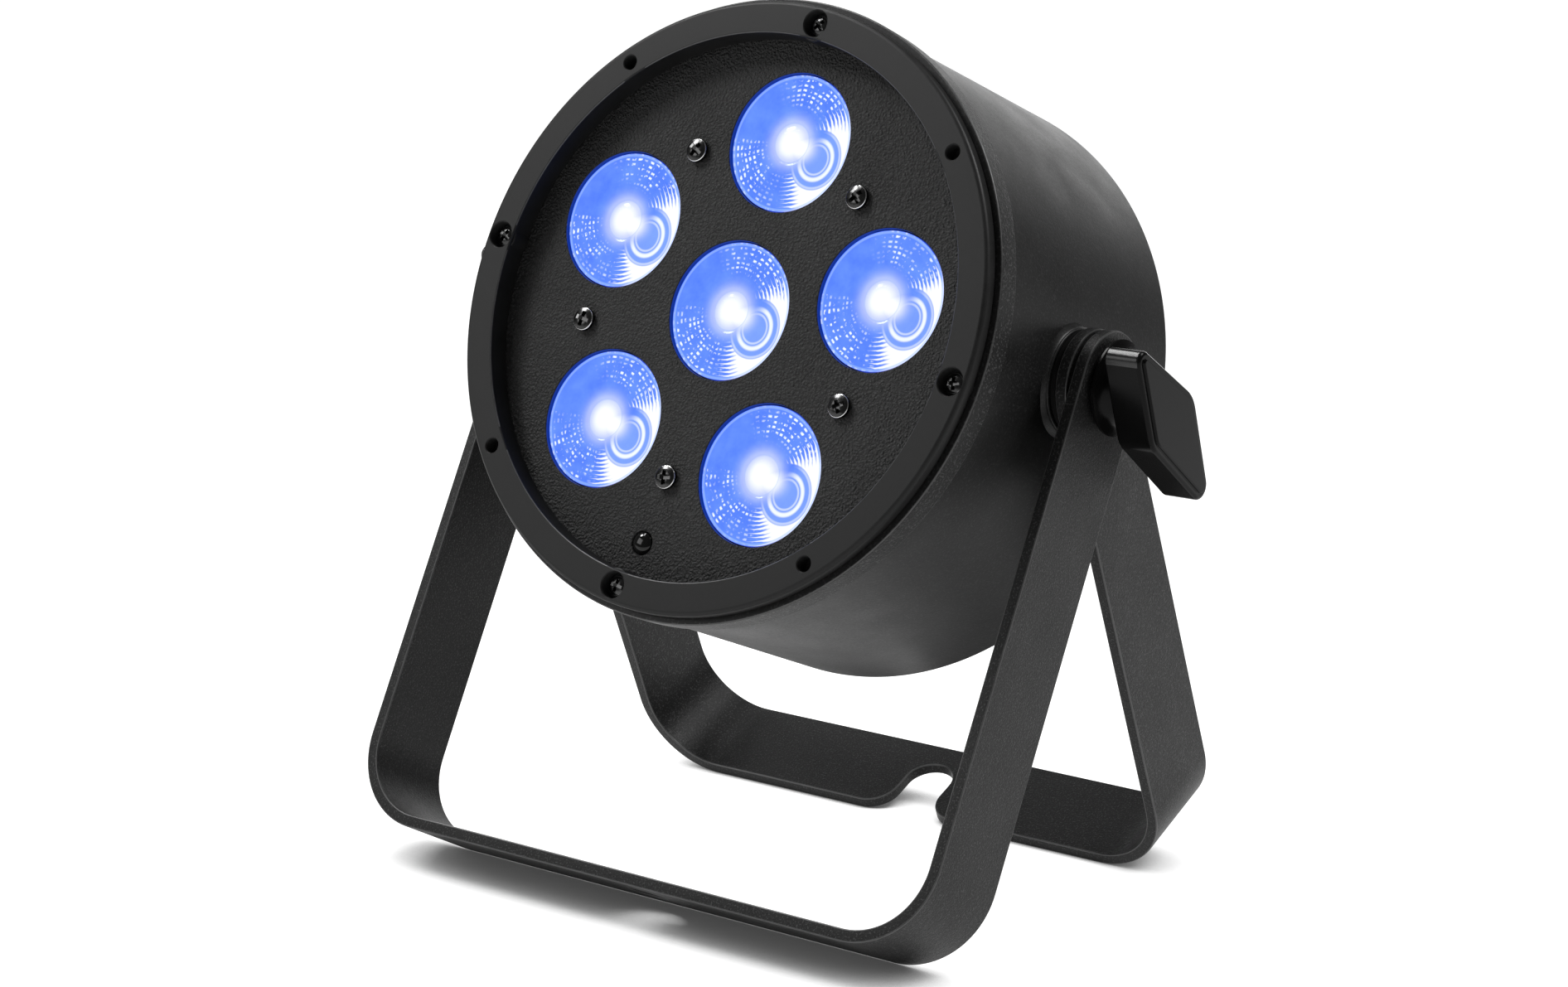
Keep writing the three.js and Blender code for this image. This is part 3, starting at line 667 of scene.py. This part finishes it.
cover_screws = [middle(f"cover_screw_{i}") for i in range(1, 5)]
lens_places = [middle(f"lens_{i}") for i in range(1, 7)]


def nearest(p, places):
    """Distance from p to the closest of the places, across the head's axis."""
    return min((p.xy - Vector(place)).length for place in places)


def turned_by(place, angle):
    x, y = place
    return (x * cos(angle) - y * sin(angle), x * sin(angle) + y * cos(angle))


plain_holes = [turned_by(place, pi / 4) for place in bezel_screws]


def build_housing():
    ledge = PANEL_BACK - GAP
    seat = COVER_TOP + GAP
    corner = 3
    outside = [
        *arc((BODY_BACK_RADIUS - corner, BODY_BACK + corner), corner, -pi / 2, 0, 8),
        (BODY_FRONT_RADIUS, LIP_BACK - 0.35),
        (BODY_FRONT_RADIUS + 0.12, LIP_BACK - 0.05),
        *arc((LIP_RADIUS - 0.4, LIP_BACK + 0.45), 0.4, -pi / 3, 0, 4),
        *arc((LIP_RADIUS - 0.6, LIP_FRONT - 0.6), 0.6, 0, pi / 2, 5),
    ]
    inside = [
        (SPIGOT + GAP + 0.2, LIP_FRONT),
        (SPIGOT + GAP, LIP_FRONT - 0.2),
        (SPIGOT + GAP, ledge), (87, ledge), (87, ledge - 8), (BODY_FRONT_RADIUS - 4.2, ledge - 13),
        (BODY_BACK_RADIUS - 4.2, seat + 10), (88, seat + 5), (88, seat),
        (COVER_RADIUS + GAP, seat), (COVER_RADIUS + GAP, BODY_BACK + 0.5),
        (COVER_RADIUS + GAP + 0.5, BODY_BACK),
    ]
    bosses, bores = [], []
    for basis in (RIGHT, LEFT):
        local = HEAD.inverted() @ basis
        local.translation = Vector()
        foot = BODY_FRONT_RADIUS - 3.2
        rim = PAD_RADIUS + 0.5
        boss = lathe([(0, foot), (rim + 2.2, foot), (rim + 0.5, BOSS_FACE - 1.0),
                      *arc((rim - 0.6, BOSS_FACE - 0.6), 0.6, 0, pi / 2, 4), (0, BOSS_FACE)], 64)
        bosses.append(placed(boss, turn=local))
        bores.append(placed(rod(STUD_HOLE, 60, BOSS_FACE + 5, 32), turn=local))
    shell = cut(join(lathe(outside + inside, 256), *bosses), *bores)

    def coat(p, n):
        if p.z < LIP_BACK or p.xy.length < LIP_RADIUS - 1.2:
            return 0
        # the lip's rounded rims take the lighter edge finish, partly a painted highlight
        on_rim = p.z > LIP_FRONT - 0.6 or p.z < LIP_BACK + 0.4
        return 2 if on_rim and 0.3 < abs(n.z) < 0.96 else 1

    return piece("head_shell", shell, HEAD, "head", PAINT, "black_paint", ["housing"],
                 (LIP_PAINT, EDGE_WEAR_AND_HIGHLIGHT), coat)


def build_bezel():
    back = BEZEL_FRONT - 4.4
    round_out, round_in = 1.5, 0.55
    body = lathe([
        (BEZEL_INNER, PANEL_FACE + GAP), (SPIGOT, PANEL_FACE + GAP), (SPIGOT, back),
        (BEZEL_RADIUS - 0.3, back),
        (BEZEL_RADIUS, back + 0.3),
        *arc((BEZEL_RADIUS - round_out, BEZEL_FRONT - round_out), round_out, 0, pi / 2, 7),
        *arc((BEZEL_INNER + round_in, BEZEL_FRONT - round_in), round_in, pi / 2, pi, 4),
    ], 256)
    bulges = [placed(rod(5.7, PANEL_FACE + GAP + 0.02, BEZEL_FRONT - 0.9, 48, 0.4), p)
              for p in bezel_screws]
    body = join(body, *bulges)
    tools = [placed(bore(4.4, BEZEL_FRONT - 4.2, BEZEL_FRONT, 48, 0.3), p) for p in bezel_screws]
    tools += [placed(rod(SHANK + GAP, PANEL_FACE - 1, BEZEL_FRONT, 24), p) for p in bezel_screws]
    tools += [placed(bore(2.5, BEZEL_FRONT - 5, BEZEL_FRONT, 36, 0.3), p) for p in plain_holes]
    body = cut(body, *tools)

    def coat(p, n):
        hole = nearest(p, bezel_screws + plain_holes)
        # the counterbore walls round the screws are darkened as painted shade
        if hole < 4.7 and PANEL_FACE + 1.5 < p.z < BEZEL_FRONT - 0.8:
            return 1
        # the bezel's inner rim takes the lighter edge finish, partly a painted highlight
        inner_rim = p.xy.length < BEZEL_INNER + 0.6 and 0.25 < n.z < 0.95
        return 2 if inner_rim and hole > 7 else 0

    return piece("bezel_ring", body, HEAD, "head", BEZEL_PAINT, "black_paint", ["front_bezel"],
                 (SHADED_RECESS, EDGE_WEAR_AND_HIGHLIGHT), coat)


def build_panel():
    radius = panel_high.x
    plate = lathe([(0, PANEL_BACK), (radius - 0.3, PANEL_BACK), (radius, PANEL_BACK + 0.3),
                   (radius, PANEL_FACE - 0.3), (radius - 0.3, PANEL_FACE), (0, PANEL_FACE)], ROUND)
    sensor = extents("ir_sensor", HEAD)[1].x - middle("ir_sensor")[0]
    tools = [placed(bore(23, PANEL_BACK - 1, PANEL_FACE, 128, 0.25), p) for p in lens_places]
    tools += [placed(rod(SHANK + GAP, PANEL_BACK - 1, PANEL_FACE + 1, 20), p) for p in panel_screws]
    tools.append(placed(bore(sensor + GAP, PANEL_BACK - 1, PANEL_FACE, 36, 0.2), middle("ir_sensor")))

    def coat(p, n):
        # the walls of the lens holes take the painted blue glow
        return 1 if nearest(p, lens_places) < 23.15 and abs(n.z) < 0.5 else 0

    return piece("front_plate", cut(plate, *tools), HEAD, "head", PANEL, "panel_paint", ["front_panel"],
                 (PAINTED_GLOW_WALL,), coat)


def build_lenses():
    foot = extents("lens_1", HEAD)[0].z
    face = PANEL_FACE - 1.3
    core, groove, wide = 6.3, 0.35, LENS_RADIUS
    steps, crests, spokes = 60, 37, 23  # rings of the mesh, and rows and rays of facets

    def facets(radius, height, angle):
        """Front face: domed middle in a fine groove, rows of pillow facets, flat rim."""
        if height < face or radius > wide - 1.0:
            return radius, height
        if radius < core:
            return radius, face - 0.5 + 0.9 * (1 - (radius / core) ** 2)
        if radius < core + 0.7:
            return radius, face - groove
        swell = abs(sin(radius * crests / wide)) * (0.5 + 0.5 * abs(sin(angle * spokes)))
        return radius, face - 0.02 + 0.03 * (swell - 1)

    front = [(wide * i / steps, face) for i in range(1, steps + 1)]
    back = [(wide, face - 1.6), (wide - 6, face - 9.4), (8.5, foot), (5.2, foot), (4.6, foot + 7),
            (0, foot + 7.6)]
    optic = lathe([(0, face + 0.4), *front, *back], 6 * spokes, facets)
    first = piece("optic_1", optic, at(HEAD, *lens_places[0]), "head", LENS, "blue_lens", ["lens_1"],
                  sharp=60)
    for i, place in enumerate(lens_places[1:], 2):
        piece_from_mesh(f"optic_{i}", first.data, at(HEAD, *place), "head", LENS, "blue_lens",
                        [f"lens_{i}"])


# ------------ screws
def cross_recess(size, width, depth, top):
    """Tapered cutting tool for a cross slot."""
    def plus(reach, half, z):
        corner = [(reach, -half), (reach, half), (half, half)]
        points = []
        for quarter in range(4):
            points += [turned_by(p, quarter * pi / 2) for p in corner]
        return [(x, y, z) for x, y in points]
    return skin([plus(size * 0.45, width * 0.35, top - depth),
                 plus(size * 0.80, width * 0.46, top - depth * 0.5),
                 plus(size, width * 0.5, top + 0.02),
                 plus(size * 1.02, width * 0.52, top + 1)])


def screw_mesh(radius, height, length):
    """Pan head with a cross recess; its rim and the ends of the cross are worn bright."""
    crown = arc((radius - 0.5, height * 0.5), 0.5, 0, pi / 3, 3)
    shank = [(0, -length), (SHANK - 0.4, -length), (SHANK, -length + 0.5), (SHANK, 0)]
    top = [(radius * 0.62, height * 0.93), (radius * 0.3, height), (0, height)]
    head = lathe([*shank, (radius - 0.15, 0), (radius, 0.15), *crown, *top], 40)
    head = cut(head, cross_recess(radius * 0.70, radius * 0.40, height * 0.85, height))
    for face in head.faces:
        p, n = face.calc_center_median(), face.normal
        reach = p.xy.length
        inwards = -n.x * p.x - n.y * p.y
        rim = reach > radius - 0.42 and p.z > height * 0.62
        end = inwards > 0.6 * reach and p.z > height * 0.45 and reach > radius * 0.45
        face.material_index = int(rim or end)
    return head


def build_screws():
    sets = (
        ("bezel", bezel_screws, BEZEL_FRONT - 4.2 + GAP, 3.3, 2.0, 14, 0.4, False),
        ("panel", panel_screws, PANEL_FACE + GAP, 3.9, 2.0, 12, 0.7, False),
        ("cover", cover_screws, COVER_FACE - GAP, 3.4, 2.0, 8, 0.2, True),
    )
    for label, places, level, radius, height, length, turn, faces_back in sets:
        mesh = None
        for i, (x, y) in enumerate(places, 1):
            matrix = at(HEAD, x, y, level)
            if faces_back:
                matrix = matrix @ Matrix.Rotation(pi, 4, "X")
            matrix = matrix @ Matrix.Rotation(turn + 1.9 * i, 4, "Z")
            name = f"{label}_cross_screw_{i}"
            stands = [f"{label}_screw_{i}"]
            rest = (matrix, "head", BLACK_STEEL, "black_steel", stands, (GLINT,))
            if mesh is None:
                mesh = piece(name, screw_mesh(radius, height, length), *rest).data
            else:
                piece_from_mesh(name, mesh, *rest)


def build_sensor():
    x, y = middle("ir_sensor")
    low, high = extents("ir_sensor", HEAD)
    radius = high.x - x
    rim = PANEL_FACE - 0.6
    dome = [(px, rim + (py - rim) * (high.z - rim) / radius)
            for px, py in arc((0, rim), radius, 0, pi / 2, 10)]
    dome[-1] = (0, dome[-1][1])
    bm = lathe([(0, low.z), (radius, low.z), *dome], SMALL)
    piece("receiver_window", bm, at(HEAD, x, y), "head", SMOKED, "smoked_plastic", ["ir_sensor"])


# ------------ rear panel
# X to the viewer's right from behind, Y to the top of the head, Z out of the rear panel
REAR = HEAD @ Matrix.Rotation(pi, 4, "Y")
FACE, INSIDE = -COVER_FACE, -COVER_TOP
SEAT = FACE + GAP
SOCKETS = ("dmx_in", "dmx_out", "power_inlet", "power_outlet")
BUTTONS = ("menu_button", "down_button", "up_button", "enter_button")
SOCKET_BODY = 12.0
FLANGE_SIZE, FLANGE_THICKNESS = (26.0, 31.0), 3.0


def on_rear(name):
    """Frame on the rear panel at the middle of a CAD node."""
    return at(REAR, *middle(name, REAR))


def pad(corners, low, high, edge, steps=6):
    """Prism whose upper rim is rounded by edge."""
    rim = [[(x, y, high - edge + edge * sin(a))
            for x, y in rounded(corners, edge - edge * cos(a), steps)]
           for a in (0, pi / 6, pi / 3, pi / 2)]
    return skin([[(x, y, low) for x, y in rounded(corners, 0, steps)], *rim])


def build_cover():
    radius = COVER_RADIUS
    plate = lathe([(0, INSIDE), (radius, INSIDE), (radius, FACE - 0.6), (radius - 0.15, FACE - 0.2),
                   (radius - 0.6, FACE), (0, FACE)], ROUND)
    low, high = extents("display_window", REAR)
    centre, size = middle("display_window", REAR), (high.x - low.x + 0.6, high.y - low.y + 0.6)
    tools = [prism(rounded(rectangle(centre, size, 1.8), 0, 6), INSIDE - 1, FACE + 1)]
    holes = [(4.3, name) for name in BUTTONS] + [(SOCKET_BODY + GAP, name) for name in SOCKETS]
    holes += [(SHANK + GAP, f"cover_screw_{i}") for i in range(1, 5)]
    holes += [(6.3, "fuse_cap"), (2.8, "safety_eyelet")]
    for radius, name in holes:
        tools.append(placed(bore(radius, INSIDE - 1, FACE, 40, 0.25), middle(name, REAR)))
    piece("cover_plate", cut(plate, *tools), REAR, "head", PAINT, "black_paint", ["rear_cover"])


# lit strokes of a seven-segment digit, as (x, y, width, height) in digit heights
STROKES = {"top": (0, 0.5, 0.40, 0.09), "bottom": (0, -0.5, 0.40, 0.09),
           "upper_left": (-0.27, 0.25, 0.09, 0.38), "upper_right": (0.27, 0.25, 0.09, 0.38),
           "lower_left": (-0.27, -0.25, 0.09, 0.38), "lower_right": (0.27, -0.25, 0.09, 0.38)}
ZERO = tuple(STROKES)
ONE = ("upper_right", "lower_right")


def build_display():
    low, high = extents("display_window", REAR)
    x, y = middle("display_window", REAR)
    window = pad(rectangle((x, y), (high.x - low.x, high.y - low.y), 1.5), low.z, high.z, 0.3)
    piece("display_glass", window, REAR, "head", SMOKED, "smoked_plastic", ["display_window"])
    for place, digit in ((-16, ZERO), (-5.5, ZERO), (5, ZERO), (15.5, ONE)):
        for stroke in digit:
            dx, dy, width, height = [12 * v for v in STROKES[stroke]]
            corners = rectangle((x + place + dx, y + dy), (width, height), 0.5)
            bar = prism(rounded(corners, 0, 3), high.z - 0.2, high.z + 0.03)
            piece(f"digit_{place}_{stroke}", bar, REAR, "head", DIGITS, "smoked_plastic")


def build_buttons():
    for name in BUTTONS:
        low, high = extents(name, REAR)
        radius = (high.x - low.x) / 2
        cap = lathe([(0, low.z), (radius, low.z),
                     *arc((radius - 0.8, high.z - 0.8), 0.8, 0, pi / 2, 6),
                     (radius - 1.3, high.z - 0.06), (radius - 2.2, high.z - 0.28),
                     (0, high.z - 0.4)], 56)
        piece(f"{name}_cap", cap, on_rear(name), name, PLASTIC, "black_plastic", [name])


def socket_shell(mouth):
    """Flange with two screw seats, and a round body behind it with an open mouth."""
    flange = pad(rectangle((0, 0), FLANGE_SIZE, 3), SEAT, SEAT + FLANGE_THICKNESS, 0.5)
    top = SEAT + FLANGE_THICKNESS
    collar = lathe([(0, top - 1), (mouth + 1.3, top - 1), (mouth + 1.3, top + 0.05),
                    (mouth + 1.0, top + 0.35), (0, top + 0.35)], 72)
    body = rod(SOCKET_BODY, SEAT - 16, SEAT + 1, 64)
    tools = [bore(mouth, SEAT - 13, top + 0.35, 72, 0.35)]
    tools += [placed(bore(2.0, top - 0.9, top, 28, 0.3), p) for p in SOCKET_SCREWS]
    return cut(join(flange, collar, body), *tools)


SOCKET_SCREWS = ((-9.7, 12.4), (9.7, -12.4))


def socket_screws(name):
    x, y = middle(name, REAR)
    top = SEAT + FLANGE_THICKNESS
    for i, (dx, dy) in enumerate(SOCKET_SCREWS, 1):
        head = screw_mesh(3.3, 1.5, 5)
        bmesh.ops.scale(head, vec=(0.55, 0.55, 0.55), verts=head.verts)
        matrix = at(REAR, x + dx, y + dy, top - 0.85) @ Matrix.Rotation(0.6 * i + x * 0.1, 4, "Z")
        piece(f"{name}_flange_screw_{i}", head, matrix, "head", BLACK_STEEL, "black_steel", (), (GLINT,))


def contact_spots(ring, turn):
    return [(ring * cos(turn + k * FULL / 3), ring * sin(turn + k * FULL / 3))
            for k in range(3)]


def build_dmx():
    floor = SEAT - 12.6
    pins = contact_spots(4.2, pi / 6)
    shell = socket_shell(9.6)
    key = prism(rounded(rectangle((0, -9.0), (2.6, 1.6), 0.3), 0, 3), floor, SEAT + 1.5)
    shell = join(shell, key)
    matrix = on_rear("dmx_in")
    piece("dmx_in_shell", shell, matrix, "head", PLASTIC, "black_plastic", ["dmx_in"])
    for i, spot in enumerate(pins, 1):
        pin = lathe([(0, floor - 0.8), (1.2, floor - 0.8), (1.2, floor + 5.6), (0.9, floor + 6.2),
                     (0.4, floor + 6.5), (0, floor + 6.5)], 28)
        piece(f"dmx_in_pin_{i}", placed(pin, spot), matrix, "head", BRASS, "steel")

    matrix = on_rear("dmx_out")
    insert = lathe([(0, SEAT - 14), (8.2, SEAT - 14), (8.2, SEAT - 0.5), (7.9, SEAT - 0.15),
                    (7.4, SEAT), (0, SEAT)], 72)
    holes = [placed(bore(1.3, SEAT - 8, SEAT, 28, 0.5), p) for p in contact_spots(4.2, pi / 2)]
    (x0, y0), (x, y) = middle("dmx_out", REAR), middle("dmx_out_latch", REAR)
    low, high = extents("dmx_out_latch", REAR)
    size = (high.x - low.x, high.y - low.y)
    well = prism(rounded(rectangle((x - x0, y - y0), (size[0] + 0.6, size[1] + 0.6), 0.6), 0, 4),
                 FACE - 2, SEAT + 4)
    shell = cut(join(socket_shell(9.9), insert), *holes, well)
    piece("dmx_out_shell", shell, matrix, "head", PLASTIC, "black_plastic", ["dmx_out"])
    for i, (dx, dy) in enumerate(contact_spots(4.2, pi / 2), 1):
        sleeve = lathe([(0.75, SEAT - 7.8), (1.25, SEAT - 7.8), (1.25, SEAT - 1.0),
                        (0.75, SEAT - 1.0)], 24)
        piece(f"dmx_out_contact_{i}", placed(sleeve, (dx, dy)), matrix, "head", BRASS, "steel")
    tab = pad(rectangle((0, 0), size, 0.6), low.z, high.z, 0.45)
    grooves = [prism(rectangle_loop(0, (k - 1) * 0.85, size[0] - 1.6, 0.35), high.z - 0.25, high.z + 1)
               for k in range(3)]
    piece("latch_tab", cut(tab, *grooves), at(REAR, x, y), "dmx_out_latch", STEEL, "steel",
          ["dmx_out_latch"])


def rectangle_loop(x, y, width, height):
    return [(x + a * width / 2, y + b * height / 2) for a, b in ((1, 1), (-1, 1), (-1, -1), (1, -1))]


def build_power():
    for name, finish, slot in (("power_inlet", BLUE_SOCKET, "blue_socket"),
                               ("power_outlet", GREY_SOCKET, "grey_socket")):
        matrix = on_rear(name)
        insert = lathe([(0, SEAT - 14), (7.6, SEAT - 14), (7.6, SEAT - 0.6), (7.2, SEAT - 0.15),
                        (6.8, SEAT), (0, SEAT)], 72)
        spots = contact_spots(3.8, pi / 2)
        holes = []
        for k, (x, y) in enumerate(spots):
            turn = Matrix.Rotation(pi / 2 + k * FULL / 3, 4, "Z")
            slit = prism(rounded(rectangle((0, 0), (3.6, 1.7), 0.5), 0, 4), SEAT - 8, SEAT + 1)
            holes.append(placed(slit, (x, y), turn))
        notches = [placed(prism(rectangle_loop(10.4, 0, 1.8, width), SEAT - 12, SEAT + 5),
                          turn=Matrix.Rotation(angle, 4, "Z"))
                   for angle, width in ((0.35, 3.2), (2.3, 2.2), (4.2, 2.2))]
        shell = cut(join(socket_shell(10.4), insert), *holes, *notches)
        piece(f"{name}_shell", shell, matrix, "head", finish, slot, [name])
        for k, (x, y) in enumerate(spots, 1):
            turn = Matrix.Rotation(pi / 2 + (k - 1) * FULL / 3, 4, "Z")
            blade = prism(rectangle_loop(0, 0, 3.2, 0.6), SEAT - 7.9, SEAT - 1.2)
            piece(f"{name}_contact_{k}", placed(blade, (x, y), turn), matrix, "head", BRASS, "steel")


def build_fuse_and_eyelet():
    low, high = extents("fuse_cap", REAR)
    radius = (high.x - low.x) / 2

    def knurl(reach, height, angle):
        on_side = SEAT + 0.8 < height < high.z - 1.2 and reach > radius - 1.5
        return (reach - 0.28 * abs(sin(angle * 15)) if on_side else reach), height

    cap = lathe([(0, low.z), (radius - 1, low.z), (radius - 1, SEAT), (radius, SEAT),
                 (radius, SEAT + 0.7), (radius - 0.1, SEAT + 0.9), (radius - 0.45, high.z - 1.3),
                 *arc((radius - 1.5, high.z - 0.9), 0.9, 0, pi / 2, 5), (0, high.z)], 180, knurl)
    slit = prism(rectangle_loop(0, 0, 9, 1.6), high.z - 1.4, high.z + 1)
    piece("fuse_holder_cap", cut(cap, slit), on_rear("fuse_cap"), "head", PLASTIC,
          "black_plastic", ["fuse_cap"])

    low, high = extents("safety_eyelet", REAR)
    ring = lathe([(6.4 + 1.8 * cos(a), 1.8 * sin(a))
                  for a in [FULL * k / 20 for k in range(20)]], 72)
    upright = Matrix.Translation((0, 0, high.z - 8.2)) @ Matrix.Rotation(pi / 2, 4, "Y")
    collar = lathe([(0, SEAT), (4.6, SEAT), (4.6, SEAT + 1.4), (4.2, SEAT + 1.8), (3.0, SEAT + 1.8),
                    (2.5, SEAT + 2.3), (2.3, SEAT + 2.6), (0, SEAT + 2.6)], 48)
    eyelet = join(placed(ring, turn=upright), collar, rod(2.5, low.z, SEAT + 1, 32))
    piece("eyelet_ring", eyelet, on_rear("safety_eyelet"), "head", STEEL, "steel",
          ["safety_eyelet"], sharp=50)


# ------------ brackets
STRAP_WIDTH, STRAP_THICKNESS, BEND = 35.0, 4.0, 28.0
BEND_STEPS = 24


def splay(leg):
    """Angle from upright at which a leg of this length stands on the inner edge of its base."""
    height = PIVOT.z / MM
    return atan(STRAP_WIDTH / 2 / leg) + acos(height / hypot(leg, STRAP_WIDTH / 2))


def slot_outline():
    """Open slot with rounded shoulders, in the flat base of the rear strap."""
    radius, mouth, offset, advance = 9.0, 10.0, 2.0, 1.0
    edge = -STRAP_WIDTH / 2
    wall = radius + mouth
    return [
        *arc((offset, -advance), radius, 0, pi, 28),
        *arc((offset - wall, edge + mouth), mouth, 0, -pi / 2, 12),
        (offset - wall, edge - 1), (offset + wall, edge - 1),
        *arc((offset + wall, edge + mouth), mouth, -pi / 2, -pi, 12),
    ]


def build_strap(name, node, leg, tilt, opening):
    half_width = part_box(node)[1].x / MM
    base = half_width - BEND
    arc_length = BEND * pi / 2
    pivot_at = base + arc_length + leg - BEND
    half = STRAP_WIDTH / 2
    strip = prism([*arc((pivot_at, 0), half, -pi / 2, pi / 2, 36),
                   *arc((-pivot_at, 0), half, pi / 2, 3 * pi / 2, 36)], -STRAP_THICKNESS, 0)
    tools = [placed(rod(STUD_HOLE, -9, 5, 40), (s * pivot_at, 0)) for s in (1, -1)]
    strip = soften(cut(strip, *tools, opening), 0.45, 2, 35)
    for face in strip.faces:  # the rounded edges are lighter: a thinner coat there, and a painted highlight
        face.material_index = 1 if 0.2 < abs(face.normal.z) < 0.97 else 0
    for side in (1, -1):
        for k in range(BEND_STEPS + 1):
            place = side * (base + arc_length * k / BEND_STEPS)
            bmesh.ops.bisect_plane(strip, geom=[*strip.verts, *strip.edges, *strip.faces],
                                   plane_co=(place, 0, 0), plane_no=(1, 0, 0), dist=1e-4)
    for vert in strip.verts:
        s, t, w = vert.co
        side, run, deep = copysign(1, s), abs(s), -w
        if run <= base:
            x, z, out_x, out_z = run, -leg, 0, -1
        elif run <= base + arc_length:
            turn = (run - base) / BEND
            x, z = base + BEND * sin(turn), -leg + BEND - BEND * cos(turn)
            out_x, out_z = sin(turn), -cos(turn)
        else:
            x, z, out_x, out_z = half_width, -leg + BEND + run - base - arc_length, 1, 0
        vert.co = (side * (x - deep * out_x), t, z - deep * out_z)
    bmesh.ops.recalc_face_normals(strip, faces=strip.faces)
    matrix = Matrix.Translation(PIVOT) @ Matrix.Rotation(tilt, 4, "X")
    piece(name, strip, matrix, node, POWDER, "strap_paint", [node], (EDGE_WEAR_AND_HIGHLIGHT,))


FRONT_LEG, REAR_LEG = 187.5, 186.0


def build_brackets():
    hole = placed(rod(6.5, -9, 5, 48), (2, 0))
    build_strap("front_strap", "front_bracket", FRONT_LEG, -splay(FRONT_LEG), hole)
    build_strap("rear_strap", "rear_bracket", REAR_LEG, splay(REAR_LEG), prism(slot_outline(), -9, 5))


# ------------ clamps and knobs
HANDLE = [(-22, 19.8, 3.6), (16.9, -2.1, 12), (32.8, -43.8, 4.5), (-7.5, -16.2, 10)]


def build_knob(side, basis):
    inner, outer = 122.8, extents("right_knob", RIGHT)[1].z
    start = extents("right_knob", RIGHT)[0].z

    def loop(inset, z):
        return [(x, y, z) for x, y in rounded(HANDLE, inset, 10)]

    back = [loop(1.0 - sin(a), inner + 1.0 - cos(a))
            for a in (0, pi / 6, pi / 3, pi / 2)]
    shoulder = outer - 0.75
    edge = 1.3
    front = [loop(edge - edge * cos(a), shoulder - edge + edge * sin(a))
             for a in (0, pi / 8, pi / 4, 3 * pi / 8, pi / 2)]
    plateau = [loop(2.0, shoulder - 0.12), loop(2.35, shoulder - 0.05), loop(2.5, outer - 0.35),
               loop(2.62, outer - 0.1), loop(2.9, outer)]
    handle = skin(back + front + plateau)
    bell = [(0, start), (14.9, start), (15.2, start + 0.3), (15.2, start + 1.0),
            *[(15.0 - 4.4 * sin(a), start + 1.3 + 4.6 * (1 - cos(a)))
              for a in (0.2, 0.5, 0.8, 1.1, 1.4)],
            (10.5, inner + 1.4), (0, inner + 1.4)]
    knob = join(handle, lathe(bell, 64))
    knob = cut(knob, rod(4.3, start - 1, inner + 7, 32))
    tip = Vector(HANDLE[0][:2])
    piece(f"{side}_clamp_knob", knob, basis, f"{side}_knob", KNOB, "black_plastic", [f"{side}_knob"],
          (RUBBED,), lambda p, n: int((p.xy - tip).length < 11 and p.z > inner and abs(n.z) < 0.3
                                      and n.y > -0.3 and n.x < 0.4), sharp=42)


def build_clamps():
    for side, basis in (("right", RIGHT), ("left", LEFT)):
        def washer(name, node, body, inner, outer, finish, slot, edge):
            low, high = extents(f"{side}_{node}", basis)
            bm = lathe([(inner, low.z), (outer - edge, low.z), (outer, low.z + edge),
                        (outer, high.z - edge), (outer - edge, high.z), (inner, high.z)], 64)
            piece(f"{side}_{name}", bm, basis, body, finish, slot, [f"{side}_{node}"])

        washer("rubber_pad", "friction_pad", "head", STUD_HOLE, PAD_RADIUS, RUBBER, "rubber", 0.5)
        washer("nylon_spacer", "spacer_washer", "rear_bracket", STUD_HOLE, PAD_RADIUS, NYLON,
               "black_plastic", 0.25)
        washer("steel_washer", "clamp_washer", f"{side}_knob", STUD_HOLE, 13, BLACK_STEEL,
               "black_steel", 0.25)
        low, high = extents(f"{side}_clamp_stud", basis)
        ridges = [(0, low.z)]
        z = low.z
        while z < high.z - 1.2:
            ridges += [(3.6, z + 0.05), (4.0, z + 0.5)]
            z += 1.0
        ridges += [(3.4, high.z), (0, high.z)]
        piece(f"{side}_threaded_stud", lathe(ridges, 32), basis, f"{side}_knob", STEEL, "steel",
              [f"{side}_clamp_stud"])
    build_knob("right", RIGHT)
    turned_left = Matrix.Translation(PIVOT) @ Matrix.Rotation(LEFT_KNOB_TURN, 4, "X")
    build_knob("left", turned_left @ Matrix.Translation(-PIVOT) @ LEFT)


build_housing()
build_bezel()
build_panel()
build_lenses()
build_screws()
build_sensor()
build_cover()
build_display()
build_buttons()
build_dmx()
build_power()
for name in SOCKETS:
    socket_screws(name)
build_fuse_and_eyelet()
build_brackets()
build_clamps()

# ------------ finishes of the CAD pieces that stay
STAYS = {
    "bezel_gasket": RUBBER, "lens_carrier": PLASTIC, "led_board": BOARD, "heat_sink": ALUMINIUM,
    "power_supply": ALUMINIUM, "control_board": GREEN_BOARD,
    **{f"led_{i}": EMITTER for i in range(1, 7)},
}
for node, finish in STAYS.items():
    for holder in NODES[node].material_slots:
        holder.material = finish
